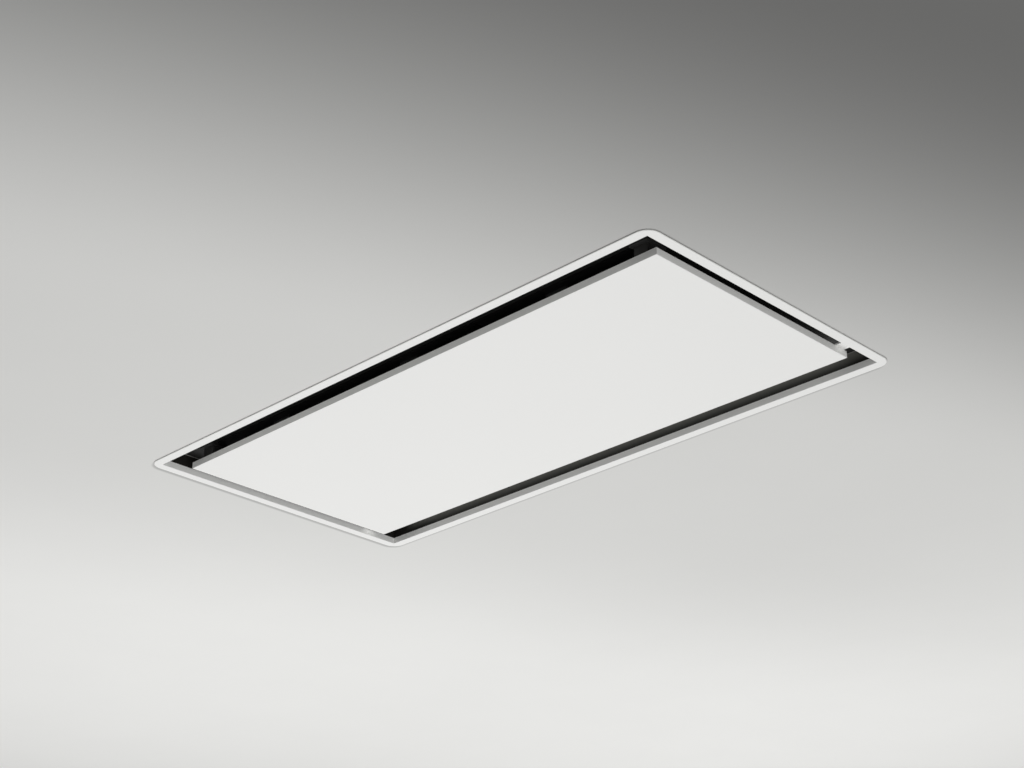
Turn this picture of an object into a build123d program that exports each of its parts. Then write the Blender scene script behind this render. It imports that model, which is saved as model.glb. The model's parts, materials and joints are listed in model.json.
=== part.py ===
from build123d import *
import math
import os

# All lengths are millimetres. The origin is the centre of the visible underside: X runs along the long
# side, Y along the short side (the hinged edge of the panel lies on +Y) and Z points up into the ceiling.

# Visible trim, lip and panel
TRIM_LENGTH = 1000.0
TRIM_WIDTH = 500.0
TRIM_FLANGE = 15.0
TRIM_SHEET = 1.2
TRIM_CORNER_R = 20.0
TRIM_SOFT_R = 0.9
LIP_HEIGHT = 10.0
SLOT_END = 20.0
SLOT_SIDE = 40.0
PANEL_DEPTH = 10.0
PANEL_SHEET = 1.2
PANEL_BEND_R = 0.8
PANEL_SEAM = 0.25
BACK_SHEET = 1.0
RIB_WIDTH = 16.0
RIB_RISE = 2.5
RIB_PITCH = 100.0
RIB_COUNT = 3
RIB_END_GAP = 70.0

# Panel hinge
ARM_SHEET = 2.0
ARM_WIDTH = 19.0
ARM_LEAD = 6.0
ARM_REACH_IN = 42.0
ARM_SCREW_PITCH = 18.0
HINGE_PIN_R = 2.2
HINGE_INSET = 12.5
HINGE_RISE = 16.0
KNUCKLE_R = 6.5
KNUCKLE_THICK = 2.5
PIN_HEAD_R = 3.6
PIN_HEAD_THICK = 1.5
BRACKET_SHEET = 2.0
BRACKET_WIDTH = 44.0
BRACKET_RIVET = 12.0

# Magnetic catches
CATCH_WIDTH = 29.0
CATCH_DEPTH = 40.0
CATCH_FLANGE = 3.0
CATCH_END_INSET = 50.7
CATCH_FRONT_INSET = 60.2
MAGNET_WIDTH = 16.0
MAGNET_DEPTH = 20.0
MAGNET_HEIGHT = 6.0
CATCH_WALL = 3.0
STRIKER_SHEET = 1.5
CATCH_GAP = 0.3

# Inner collar, filter deck, filters and light bars
BODY_SHEET = 1.0
BODY_RISE = 3.4
DECK_RISE = 30.5
DECK_END = 68.2
DECK_SIDE = 48.2
FILTER_COUNT = 3
FILTER_GAP = 0.8
FILTER_SIDE_GAP = 1.5
FILTER_DEPTH = 11.5
FILTER_SHEET = 1.0
FILTER_BORDER = 12.0
FILTER_FRONT = 30.0
FILTER_TAB_REACH = 5.0
FILTER_TAB_WIDTH = 30.0
FILTER_TAB_THICK = 1.5
PLEAT_PITCH = 12.0
PLEAT_SHEET = 0.8
LATCH_WIDTH = 36.0
LATCH_THICK = 2.0
LATCH_NOSE = 4.5
LATCH_TRAVEL = 6.0
LATCH_HANDLE_DROP = 6.5
LATCH_HANDLE_THICK = 2.5
LIGHT_WIDTH = 30.0
LIGHT_HEIGHT = 12.5
LIGHT_END_INSET = 56.2
LIGHT_SHEET = 1.5
WINDOW_WIDTH = 24.0
WINDOW_END = 5.0
DIFFUSER_FLANGE = 1.5
LED_BOARD_WIDTH = 12.0
LED_BOARD_THICK = 1.6
LED_SIZE = 5.0
LED_THICK = 0.8
LED_COUNT = 24

# Plenum shell, blower box and hangers
PLENUM_TOP = 110.0
PLENUM_BEND_R = 0.8
BEAD_RISE = 2.0
BEAD_WIDTH = 14.0
BOX_LENGTH = 440.0
BOX_WIDTH = 320.0
BOX_TOP = 268.0
BOX_FLANGE = 15.0
BOX_CORNER_R = 4.0
HANGER_SHEET = 2.0
HANGER_WIDTH = 40.0
HANGER_FOOT = 32.0
HANGER_EAR = 34.0
HANGER_HEIGHT = 40.0
HANGER_HOLE_R = 4.5
HANGER_END_INSET = 28.2
HANGER_SIDE_INSET = 23.2

# Blower
WHEEL_R = 75.0
WHEEL_INNER_R = 60.0
WHEEL_HALF = 76.0
WHEEL_SHEET = 2.0
BLADE_COUNT = 32
BLADE_THICK = 1.2
BLADE_SWEEP = 9.0
HUB_R = 12.0
HUB_LENGTH = 16.0
SHAFT_R = 4.0
SCROLL_START_R = 84.0
SCROLL_END_R = 130.0
SCROLL_START_DEG = 105.0
SCROLL_SHEET = 1.0
SCROLL_HALF = 84.0
SCROLL_MARGIN = 6.0
SCROLL_STEPS = 16
BLOWER_RISE = 165.0
INLET_R = 62.0
INLET_RIM = 7.0
OUTLET_FLANGE = 14.0
VOLUTE_SCREW_REACH = 58.8
MOTOR_R = 42.0
MOTOR_LENGTH = 82.0
MOTOR_BOSS_R = 14.0
MOTOR_BOSS = 6.0
MOTOR_SLOTS = 12
MOTOR_SLOT = (41.0, 7.0, 3.5)
MOTOR_SLOT_INSET = 32.8
CLAMP_SHEET = 3.0
CLAMP_WIDTH = 14.0
SPIDER_ARMS = 3
SPIDER_START_DEG = 90.0
SPIDER_WIDTH = 14.0
SPIDER_BOLT_R = 78.0
GROMMET_R = 7.0
GROMMET_HEIGHT = 9.0
GUARD_RINGS = 3
GUARD_WIRE_R = 1.2
GUARD_SPOKE_R = 1.6
GUARD_STAND = 11.0
GUARD_FOOT = 1.0

# Outlet collar with its two non-return flaps
DUCT_R = 75.0
DUCT_WALL = 2.0
DUCT_HEIGHT = 42.0
DUCT_FLANGE = 17.0
DUCT_FLANGE_THICK = 2.0
DUCT_SOFT_R = 0.8
DUCT_PIN_INSET = 0.5
DAMPER_RISE = 14.0
DAMPER_PIN_R = 2.0
FLAP_SHEET = 1.2
FLAP_EDGE_GAP = 1.0
FLAP_ROOT = 4.2
FLAP_KNUCKLE_R = 3.6
FLAP_KNUCKLE = 18.0
FLAP_KNUCKLE_COUNT = 7
FLAP_STOP_WIDTH = 3.0
FLAP_STOP_THICK = 2.0

# Electrical parts on the plenum's top
CASE_LENGTH = 180.0
CASE_WIDTH = 130.0
CASE_HEIGHT = 55.0
CASE_SHEET = 1.2
CASE_SHIFT = 9.6
LID_RIM = 8.0
CASE_SCREW_EDGE = 8.0
BOARD_LENGTH = 100.0
BOARD_WIDTH = 88.0
BOARD_THICK = 1.6
BOARD_EDGE = 6.0
TRANSFORMER = (32.0, 28.0, 26.0)
RELAY = (19.0, 16.0, 16.0)
RELAY_COUNT = 2
TERMINAL_DEPTH = 11.0
TERMINAL_HEIGHT = 13.0
CAN_R = 6.0
CAN_HEIGHT = 22.0
CAN_COUNT = 2
CHIP = (14.0, 14.0, 3.0)
STANDOFF_HEIGHT = 6.0
STANDOFF_R = 3.0
CAPACITOR_R = 18.0
CAPACITOR_LENGTH = 70.0
SADDLE_WIDTH = 21.6
GLAND_HEX_R = 13.0
GLAND_THREAD_R = 10.0
GLAND_BORE_R = 5.5
GLAND_HEX = 6.0
GLAND_DOME = 12.0
DRIVER_LENGTH = 120.0
DRIVER_WIDTH = 60.0
DRIVER_HEIGHT = 32.0
DRIVER_SHIFT = 16.6
DRIVER_EAR = 12.0
DRIVER_EAR_THICK = 3.0

# Fasteners and fits
SCREW_R = 2.0
SCREW_LENGTH = 8.0
SCREW_HEAD_R = 3.8
SCREW_HEAD = 2.2
RECESS_DEPTH = 1.0
RECESS_WIDTH = 0.9
RIVET_R = 1.6
RIVET_HEAD_R = 3.0
RIVET_HEAD = 0.9
RIVET_RISE = 25.5
RIVET_LONG_COUNT = 5
RIVET_LONG_INSET = 60.0
RIVET_SHORT_COUNT = 3
RIVET_SHORT_INSET = 110.0
BOX_SCREW_COUNT_X = 4
BOX_SCREW_COUNT_Y = 3
BOX_SCREW_INSET = 35.0
HOLE_FIT = 0.1
SLIDE_FIT = 0.1
TIGHT_FIT = 0.02
RUN_FIT = 0.06
EDGE_GAP = 0.2
SIDE_GAP = 0.4

# Places that follow from the sizes above
OPEN_X = TRIM_LENGTH / 2 - TRIM_FLANGE
OPEN_Y = TRIM_WIDTH / 2 - TRIM_FLANGE
PANEL_X = OPEN_X - SLOT_END
PANEL_Y = OPEN_Y - SLOT_SIDE
COLLAR_X = OPEN_X + TRIM_SHEET
COLLAR_Y = OPEN_Y + TRIM_SHEET
SHELL_X = COLLAR_X + BODY_SHEET
SHELL_Y = COLLAR_Y + BODY_SHEET
SHELL_OUT_X = SHELL_X + BODY_SHEET
SHELL_OUT_Y = SHELL_Y + BODY_SHEET
DECK_TOP = DECK_RISE + BODY_SHEET
FILTER_X = COLLAR_X - DECK_END
FILTER_Y = COLLAR_Y - DECK_SIDE
FILTER_END_Y = FILTER_Y - FILTER_SIDE_GAP
FILTER_PITCH = 2 * FILTER_X / FILTER_COUNT
FILTER_HALF = FILTER_PITCH / 2 - FILTER_GAP
FILTER_TOP = DECK_RISE + FILTER_DEPTH
LIGHT_Y = (FILTER_Y + COLLAR_Y) / 2
LIGHT_X = COLLAR_X - LIGHT_END_INSET
CATCH_X = COLLAR_X - CATCH_END_INSET
CATCH_Y = CATCH_FRONT_INSET - COLLAR_Y
HINGE_Y = PANEL_Y - HINGE_INSET
BRACKET_FACE_X = COLLAR_X - BRACKET_SHEET
KNUCKLE_OUT_X = BRACKET_FACE_X - SIDE_GAP
KNUCKLE_IN_X = KNUCKLE_OUT_X - KNUCKLE_THICK
MAGNET_FACE = PANEL_DEPTH + STRIKER_SHEET + CATCH_GAP
BOX_X = BOX_LENGTH / 2
BOX_Y = BOX_WIDTH / 2
BOX_CEILING = BOX_TOP - BODY_SHEET
SCROLL_START = math.radians(SCROLL_START_DEG)
TONGUE_Y = SCROLL_START_R * math.cos(SCROLL_START)
BLOWER_Y = -(SCROLL_END_R + TONGUE_Y) / 2
SCROLL_OUT_X = SCROLL_HALF + SCROLL_SHEET
SPIDER_X = SCROLL_OUT_X + GROMMET_HEIGHT
MOTOR_BACK = SPIDER_X + CLAMP_SHEET
MOTOR_FRONT = MOTOR_BACK - MOTOR_LENGTH
DUCT_BORE_R = DUCT_R - DUCT_WALL
DUCT_BASE = BOX_TOP + DUCT_FLANGE_THICK
DAMPER_Z = BOX_TOP + DAMPER_RISE
BESIDE_BOX_X = (SHELL_OUT_X + BOX_X + BOX_FLANGE) / 2
CASE_X = CASE_SHIFT - BESIDE_BOX_X
DRIVER_X = BESIDE_BOX_X - DRIVER_SHIFT
CASE_FLOOR = PLENUM_TOP + CASE_SHEET
CASE_TOP = PLENUM_TOP + CASE_HEIGHT
HANGER_X = SHELL_OUT_X - HANGER_END_INSET
HANGER_Y = SHELL_OUT_Y - HANGER_SIDE_INSET
EAR_TOP = PLENUM_TOP + HANGER_HEIGHT

UP = (0, 0, 1)
DOWN = (0, 0, -1)
RIGHT = (1, 0, 0)
LEFT = (-1, 0, 0)


def slab(xs, ys, zs):
    """A block between two values on each axis."""
    place = Pos(sum(xs) / 2, sum(ys) / 2, sum(zs) / 2)
    return place * Box(xs[1] - xs[0], ys[1] - ys[0], zs[1] - zs[0])


def both(value):
    """A span centred on zero."""
    return (-value, value)


def rod(point, direction, radius, length):
    """A cylinder that starts at a point and runs one way."""
    stand = Plane(origin=point, z_dir=direction)
    return stand * Cylinder(radius, length, align=(Align.CENTER, Align.CENTER, Align.MIN))


def tube(point, direction, radius, bore, length):
    return rod(point, direction, radius, length) - rod(point, direction, bore, length)


def mirrored(shape):
    """The same piece on the other short side."""
    return mirror(shape, about=Plane.YZ)


def fused(pieces):
    """One body from pieces that touch or cross."""
    first, *others = pieces
    return first.fuse(*others).clean() if others else first


def screw(point, direction):
    """A pan-head screw: its head stands on the point and the shank runs the other way."""
    back = tuple(-value for value in direction)
    head = rod(point, direction, SCREW_HEAD_R, SCREW_HEAD)
    head = fillet(head.edges().sort_by_distance(Vector(*point))[-1], SCREW_HEAD / 2)
    stand = Plane(origin=point, z_dir=direction)
    bar = Box(SCREW_HEAD_R, RECESS_WIDTH, RECESS_DEPTH * 2)
    cross = [stand * Pos(0, 0, SCREW_HEAD) * Rot(0, 0, turn) * bar for turn in (0, 90)]
    return (head - cross) + rod(point, back, SCREW_R, SCREW_LENGTH)


def screw_hole(point, depth):
    """The cutter of a vertical screw's hole, a little wider than the screw."""
    return rod((point[0], point[1], point[2] - depth), UP, SCREW_R + HOLE_FIT, depth)


def rivet(point, direction, grip):
    """A rivet with a low head on the point and a flat tail beyond its grip."""
    back = tuple(-value for value in direction)
    tail = tuple(p + b * grip for p, b in zip(point, back))
    shank = rod(point, back, RIVET_R, grip)
    head = rod(point, direction, RIVET_HEAD_R, RIVET_HEAD)
    head = fillet(head.edges().sort_by_distance(Vector(*point))[-1], RIVET_HEAD / 2)
    return head + shank + rod(tail, back, RIVET_HEAD_R, RIVET_HEAD)


def rivet_hole(point, direction, grip):
    back = tuple(-value for value in direction)
    return rod(point, back, RIVET_R + TIGHT_FIT, grip)


def spaced(count, reach):
    """Evenly spaced places from -reach to reach."""
    return [-reach + 2 * reach * step / (count - 1) for step in range(count)]


# ---- where the fasteners go ----

LONG_RIVETS = spaced(RIVET_LONG_COUNT, SHELL_X - RIVET_LONG_INSET)
SHORT_RIVETS = spaced(RIVET_SHORT_COUNT, SHELL_Y - RIVET_SHORT_INSET)
BRACKET_RIVETS = [HINGE_Y - BRACKET_RIVET, HINGE_Y + BRACKET_RIVET]
ARM_SCREW_FIRST = PANEL_X - ARM_REACH_IN + 2 * SCREW_HEAD_R
ARM_SCREW_X = [ARM_SCREW_FIRST, ARM_SCREW_FIRST + ARM_SCREW_PITCH]
BOX_SCREW_X = spaced(BOX_SCREW_COUNT_X, BOX_X - BOX_SCREW_INSET)
BOX_SCREW_Y = spaced(BOX_SCREW_COUNT_Y, BOX_Y - BOX_SCREW_INSET)
BOX_SCREW_OUT = BOX_FLANGE / 2
OUTLET_SCREW_R = DUCT_R + DUCT_FLANGE / 2
HANGER_SCREW_X = [HANGER_X - HANGER_WIDTH / 4, HANGER_X + HANGER_WIDTH / 4]
HANGER_SCREW_Y = HANGER_Y - HANGER_EAR / 2 - HANGER_FOOT / 2
LID_SCREW_REACH = CASE_LENGTH / 2 - CASE_SCREW_EDGE
LID_SCREW_X = [CASE_X - LID_SCREW_REACH, CASE_X + LID_SCREW_REACH]


def collar_rivet_sites():
    """Point, outward direction and grip of every rivet that holds collar and shell."""
    sites = []
    for x in LONG_RIVETS:
        sites.append(((x, COLLAR_Y, RIVET_RISE), (0, -1, 0), 2 * BODY_SHEET))
        sites.append(((x, -COLLAR_Y, RIVET_RISE), (0, 1, 0), 2 * BODY_SHEET))
    for y in SHORT_RIVETS:
        sites.append(((COLLAR_X, y, RIVET_RISE), LEFT, 2 * BODY_SHEET))
        sites.append(((-COLLAR_X, y, RIVET_RISE), RIGHT, 2 * BODY_SHEET))
    for y in BRACKET_RIVETS:
        grip = 2 * BODY_SHEET + BRACKET_SHEET
        sites.append(((BRACKET_FACE_X, y, RIVET_RISE), LEFT, grip))
        sites.append(((-BRACKET_FACE_X, y, RIVET_RISE), RIGHT, grip))
    return sites


def box_screw_sites():
    """Where the blower box's foot is screwed to the plenum, on top of that foot."""
    top = PLENUM_TOP + BODY_SHEET
    sites = []
    for x in BOX_SCREW_X:
        for y in both(BOX_Y + BOX_SCREW_OUT):
            sites.append((x, y, top))
    for y in BOX_SCREW_Y:
        for x in both(BOX_X + BOX_SCREW_OUT):
            sites.append((x, y, top))
    return sites


def outlet_screw_sites():
    """Where the duct collar is screwed to the blower box."""
    reach = OUTLET_SCREW_R * math.sqrt(0.5)
    return [(x, y, DUCT_BASE) for x in both(reach) for y in both(reach)]


def volute_screw_sites():
    """Where the volute's outlet flange hangs from the blower box's ceiling."""
    x = SCROLL_OUT_X + OUTLET_FLANGE / 2
    y = VOLUTE_SCREW_REACH
    return [(side, along, BOX_TOP) for side in both(x) for along in both(y)]


def hanger_screw_sites():
    top = PLENUM_TOP + HANGER_SHEET
    xs = HANGER_SCREW_X + [-x for x in HANGER_SCREW_X]
    return [(x, y, top) for x in xs for y in both(HANGER_SCREW_Y)]


def lid_screw_sites():
    top = CASE_TOP + CASE_SHEET
    return [(x, y, top) for x in LID_SCREW_X for y in both(CASE_WIDTH / 2 - CASE_SCREW_EDGE)]


def driver_screw_sites():
    x = (DRIVER_LENGTH - DRIVER_EAR) / 2
    return [(DRIVER_X + side, 0, PLENUM_TOP + DRIVER_EAR_THICK) for side in both(x)]


def arm_screw_sites():
    top = PANEL_DEPTH + ARM_SHEET
    xs = ARM_SCREW_X + [-x for x in ARM_SCREW_X]
    return [(x, arm_middle(), top) for x in xs]


def arm_middle():
    """The middle of a hinge arm across its width; its rear edge leads the hinge's axis."""
    return HINGE_Y + ARM_LEAD - ARM_WIDTH / 2


def spider_points(radius):
    """The bolt places round a blower inlet, as Y and Z."""
    places = []
    for arm in range(SPIDER_ARMS):
        angle = math.radians(SPIDER_START_DEG + arm * 360 / SPIDER_ARMS)
        y = BLOWER_Y + radius * math.cos(angle)
        places.append((y, BLOWER_RISE + radius * math.sin(angle)))
    return places


# ---- the visible frame and the panel ----


def trim_frame():
    opening = Rectangle(2 * OPEN_X, 2 * OPEN_Y)
    flange = extrude(RectangleRounded(TRIM_LENGTH, TRIM_WIDTH, TRIM_CORNER_R) - opening, TRIM_SHEET)
    lip = extrude(Rectangle(2 * COLLAR_X, 2 * COLLAR_Y) - opening, LIP_HEIGHT)
    trim = flange + lip
    return fillet(trim.edges().group_by(Axis.Z)[0], TRIM_SOFT_R)


def panel_tray():
    tray = slab(both(PANEL_X), both(PANEL_Y), (0, PANEL_DEPTH))
    tray = fillet(tray.faces().sort_by(Axis.Z)[0].edges(), PANEL_BEND_R)
    room_x = PANEL_X - PANEL_SHEET
    room_y = PANEL_Y - PANEL_SHEET
    tray -= slab(both(room_x), both(room_y), (PANEL_SHEET, PANEL_DEPTH))
    seam = Box(PANEL_SHEET * 4, PANEL_SEAM, PANEL_DEPTH - PANEL_SHEET)
    rise = (PANEL_DEPTH + PANEL_SHEET) / 2
    for x, x_way in ((PANEL_X, 1), (-PANEL_X, -1)):
        for y, y_way in ((PANEL_Y, 1), (-PANEL_Y, -1)):
            tray -= Pos(x, y, rise) * Rot(0, 0, 45 * x_way * y_way) * seam
    return tray


def panel_back():
    """The lid inside the tray, with pressed ribs along it."""
    x = PANEL_X - PANEL_SHEET - EDGE_GAP
    y = PANEL_Y - PANEL_SHEET - EDGE_GAP
    back = slab(both(x), both(y), (PANEL_SHEET, PANEL_DEPTH))
    under = PANEL_DEPTH - BACK_SHEET
    back -= slab(both(x - BACK_SHEET), both(y - BACK_SHEET), (PANEL_SHEET, under))
    reach = x - RIB_END_GAP
    for middle in spaced(RIB_COUNT, RIB_PITCH):
        wide = (middle - RIB_WIDTH / 2, middle + RIB_WIDTH / 2)
        rib = slab(both(reach), wide, (PANEL_DEPTH, PANEL_DEPTH + RIB_RISE))
        back += fillet(rib.faces().sort_by(Axis.Z)[-1].edges(), RIB_RISE / 2)
    for middle in spaced(RIB_COUNT, RIB_PITCH):
        narrow = (middle - RIB_WIDTH / 2 + 2 * BACK_SHEET, middle + RIB_WIDTH / 2 - 2 * BACK_SHEET)
        top = PANEL_DEPTH + RIB_RISE - BACK_SHEET
        back -= slab(both(reach - 2 * BACK_SHEET), narrow, (under, top))
    holes = [screw_hole((x, y, PANEL_DEPTH), BACK_SHEET) for x, y, _ in arm_screw_sites()]
    return back - holes


def hinge_arm():
    """The right-hand arm: a flat strip on the panel's back that turns up into a knuckle."""
    y0 = arm_middle() - ARM_WIDTH / 2
    y1 = arm_middle() + ARM_WIDTH / 2
    flat = (PANEL_DEPTH, PANEL_DEPTH + ARM_SHEET)
    arm = slab((PANEL_X - ARM_REACH_IN, KNUCKLE_OUT_X), (y0, y1), flat)
    arm = fillet(arm.faces().sort_by(Axis.X)[0].edges().filter_by(Axis.Z), KNUCKLE_R)
    root = slab((KNUCKLE_IN_X, KNUCKLE_OUT_X), (HINGE_Y - KNUCKLE_R, HINGE_Y + KNUCKLE_R),
                (PANEL_DEPTH + ARM_SHEET / 2, HINGE_RISE))
    eye = rod((KNUCKLE_IN_X, HINGE_Y, HINGE_RISE), RIGHT, KNUCKLE_R, KNUCKLE_THICK)
    arm = arm + root + eye
    arm -= rod((KNUCKLE_IN_X, HINGE_Y, HINGE_RISE), RIGHT, HINGE_PIN_R + RUN_FIT, KNUCKLE_THICK)
    return arm - [screw_hole(site, ARM_SHEET) for site in arm_screw_sites() if site[0] > 0]


def hinge_bracket():
    """The plate on the right-hand wall that carries the hinge pin."""
    ys = (HINGE_Y - BRACKET_WIDTH / 2, HINGE_Y + BRACKET_WIDTH / 2)
    plate = slab((BRACKET_FACE_X, COLLAR_X), ys, (LIP_HEIGHT + SIDE_GAP, DECK_RISE - SIDE_GAP))
    plate = fillet(plate.edges().filter_by(Axis.X), BRACKET_SHEET)
    plate -= rod((BRACKET_FACE_X, HINGE_Y, HINGE_RISE), RIGHT, HINGE_PIN_R + TIGHT_FIT, BRACKET_SHEET)
    return plate - bracket_rivet_holes()


def bracket_rivet_holes():
    return [rivet_hole((BRACKET_FACE_X, y, RIVET_RISE), LEFT, BRACKET_SHEET) for y in BRACKET_RIVETS]


def hinge_pin():
    """The right-hand pin, pressed into its bracket, with a head that keeps the knuckle on."""
    head_x = KNUCKLE_IN_X - SIDE_GAP - PIN_HEAD_THICK
    head = rod((head_x, HINGE_Y, HINGE_RISE), RIGHT, PIN_HEAD_R, PIN_HEAD_THICK)
    head = fillet(head.edges().sort_by(Axis.X)[0], PIN_HEAD_THICK / 3)
    return head + rod((head_x, HINGE_Y, HINGE_RISE), RIGHT, HINGE_PIN_R, COLLAR_X - head_x)


def striker():
    """The steel plate on the panel's back that meets the right-hand magnet."""
    xs = (CATCH_X - CATCH_WIDTH / 2 + CATCH_WALL, CATCH_X + CATCH_WIDTH / 2 - CATCH_WALL)
    ys = (CATCH_Y - MAGNET_DEPTH / 2 - CATCH_WALL, CATCH_Y + MAGNET_DEPTH / 2 + CATCH_WALL)
    plate = slab(xs, ys, (PANEL_DEPTH, PANEL_DEPTH + STRIKER_SHEET))
    return fillet(plate.edges().filter_by(Axis.Z), STRIKER_SHEET)


def catch_body():
    """The right-hand catch: a flange under the deck and a post that holds the magnet."""
    xs = (CATCH_X - CATCH_WIDTH / 2, CATCH_X + CATCH_WIDTH / 2)
    ys = (CATCH_Y - CATCH_DEPTH / 2, CATCH_Y + CATCH_DEPTH / 2)
    flange = slab(xs, ys, (DECK_RISE - CATCH_FLANGE, DECK_RISE))
    flange = fillet(flange.edges().filter_by(Axis.Z), CATCH_FLANGE)
    post_x = (xs[0] + CATCH_WALL, xs[1] - CATCH_WALL)
    half = MAGNET_DEPTH / 2 + CATCH_WALL
    low = MAGNET_FACE + CATCH_GAP
    post = slab(post_x, (CATCH_Y - half, CATCH_Y + half), (low, DECK_RISE - CATCH_FLANGE))
    post = fillet(post.edges().filter_by(Axis.Z), CATCH_WALL / 2)
    pocket = slab((CATCH_X - MAGNET_WIDTH / 2 - EDGE_GAP, CATCH_X + MAGNET_WIDTH / 2 + EDGE_GAP),
                  (CATCH_Y - MAGNET_DEPTH / 2 - EDGE_GAP, CATCH_Y + MAGNET_DEPTH / 2 + EDGE_GAP),
                  (low, MAGNET_FACE + MAGNET_HEIGHT))
    return flange + post - pocket


def catch_magnets():
    magnet = slab((CATCH_X - MAGNET_WIDTH / 2, CATCH_X + MAGNET_WIDTH / 2),
                  (CATCH_Y - MAGNET_DEPTH / 2, CATCH_Y + MAGNET_DEPTH / 2),
                  (MAGNET_FACE, MAGNET_FACE + MAGNET_HEIGHT))
    return Compound([magnet, mirrored(magnet)])


# ---- collar, filters and lights ----


def inner_collar():
    """The dark wall above the lip."""
    rise = (BODY_RISE, DECK_RISE)
    collar = slab(both(SHELL_X), both(SHELL_Y), rise) - slab(both(COLLAR_X), both(COLLAR_Y), rise)
    return collar - wall_holes(COLLAR_X, COLLAR_Y)


def filter_deck():
    """The plate on the collar that carries the filters, the lights and the catches."""
    rise = (DECK_RISE, DECK_TOP)
    deck = slab(both(SHELL_X), both(SHELL_Y), rise) - slab(both(FILTER_X), both(FILTER_Y), rise)
    for middle in both(LIGHT_Y):
        wide = (middle - WINDOW_WIDTH / 2, middle + WINDOW_WIDTH / 2)
        deck -= slab(both(LIGHT_X - WINDOW_END), wide, rise)
    return deck


def wall_holes(at_x, at_y):
    """Rivet holes through one sheet of the side walls, given its inner face."""
    holes = []
    for (x, y, z), way, _ in collar_rivet_sites():
        if way[0]:
            holes.append(rivet_hole((math.copysign(at_x, x), y, z), way, BODY_SHEET))
        else:
            holes.append(rivet_hole((x, math.copysign(at_y, y), z), way, BODY_SHEET))
    return holes


def filter_frame(middle):
    """A channel frame with two rear tabs and the slots of its front latch."""
    xs = (middle - FILTER_HALF, middle + FILTER_HALF)
    frame = slab(xs, both(FILTER_END_Y), (DECK_RISE, FILTER_TOP))
    frame = fillet(frame.edges().filter_by(Axis.Z), FILTER_SHEET)
    inner = (xs[0] + FILTER_SHEET, xs[1] - FILTER_SHEET)
    frame -= slab(inner, both(FILTER_END_Y - FILTER_SHEET),
                  (DECK_RISE + FILTER_SHEET, FILTER_TOP - FILTER_SHEET))
    frame -= slab((xs[0] + FILTER_BORDER, xs[1] - FILTER_BORDER),
                  (FILTER_FRONT - FILTER_END_Y, FILTER_END_Y - FILTER_BORDER),
                  (DECK_RISE, FILTER_TOP))
    for place in both(FILTER_HALF / 2):
        tab_x = (middle + place - FILTER_TAB_WIDTH / 2, middle + place + FILTER_TAB_WIDTH / 2)
        tab_y = (FILTER_END_Y - FILTER_SHEET, FILTER_END_Y + FILTER_SIDE_GAP + FILTER_TAB_REACH)
        frame += slab(tab_x, tab_y, (DECK_TOP, DECK_TOP + FILTER_TAB_THICK))
    across = (middle - LATCH_WIDTH / 2 - SIDE_GAP, middle + LATCH_WIDTH / 2 + SIDE_GAP)
    nose_top = DECK_TOP + LATCH_THICK + SIDE_GAP + SLIDE_FIT
    frame -= slab(across, (-FILTER_END_Y, FILTER_SHEET - FILTER_END_Y), (DECK_TOP, nose_top))
    handle = latch_handle_span()
    frame -= slab(across, (handle[0] - SIDE_GAP, handle[1] + LATCH_TRAVEL + SIDE_GAP),
                  (DECK_RISE, DECK_TOP))
    return frame


def latch_handle_span():
    """The finger grip of a latch along Y, while the latch is shut."""
    start = FILTER_FRONT / 2 - FILTER_END_Y - LATCH_HANDLE_THICK
    return (start, start + LATCH_HANDLE_THICK)


def latch_tail():
    """The rear end of a latch plate, while the latch is shut."""
    return latch_handle_span()[1] + LATCH_TRAVEL


def filter_latch(middle):
    """A sliding bolt with a grip below the frame."""
    across = (middle - LATCH_WIDTH / 2, middle + LATCH_WIDTH / 2)
    low = DECK_TOP + SLIDE_FIT
    plate = slab(across, (-FILTER_END_Y - LATCH_NOSE, latch_tail()), (low, low + LATCH_THICK))
    nose = plate.faces().sort_by(Axis.Y)[0].edges().filter_by(Axis.Z)
    plate = fillet(nose, LATCH_THICK)
    grip = slab(across, latch_handle_span(), (DECK_RISE - LATCH_HANDLE_DROP, low + LATCH_THICK))
    grip = fillet(grip.faces().sort_by(Axis.Z)[0].edges().filter_by(Axis.Y), LATCH_THICK * 2)
    return plate + grip


def filter_mesh(middle):
    """A pleated sheet held in the frame's channel."""
    low = DECK_RISE + FILTER_SHEET
    high = FILTER_TOP - FILTER_SHEET - PLEAT_SHEET
    reach = FILTER_HALF - FILTER_SHEET - EDGE_GAP
    count = int(2 * reach / PLEAT_PITCH)
    pitch = 2 * reach / count
    lower = []
    for step in range(count):
        x = middle - reach + pitch * step
        lower += [(x, low), (x + pitch / 4, low), (x + pitch / 2, high), (x + pitch * 3 / 4, high)]
    lower.append((middle + reach, low))
    upper = [(x, z + PLEAT_SHEET) for x, z in reversed(lower)]
    profile = make_face(Polyline(*lower, *upper, close=True))
    y0 = latch_tail() + LATCH_TRAVEL + SIDE_GAP
    y1 = FILTER_END_Y - FILTER_SHEET - EDGE_GAP
    stand = Plane(origin=(0, y0, 0), x_dir=(1, 0, 0), z_dir=(0, -1, 0))
    return extrude(stand * profile, amount=-(y1 - y0))


def light_channel(middle):
    ys = (middle - LIGHT_WIDTH / 2, middle + LIGHT_WIDTH / 2)
    channel = slab(both(LIGHT_X), ys, (DECK_TOP, DECK_TOP + LIGHT_HEIGHT))
    channel = fillet(channel.faces().sort_by(Axis.Z)[-1].edges(), LIGHT_SHEET / 2)
    room_y = (ys[0] + LIGHT_SHEET, ys[1] - LIGHT_SHEET)
    room_z = (DECK_TOP, DECK_TOP + LIGHT_HEIGHT - LIGHT_SHEET)
    return channel - slab(both(LIGHT_X - LIGHT_SHEET), room_y, room_z)


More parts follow.
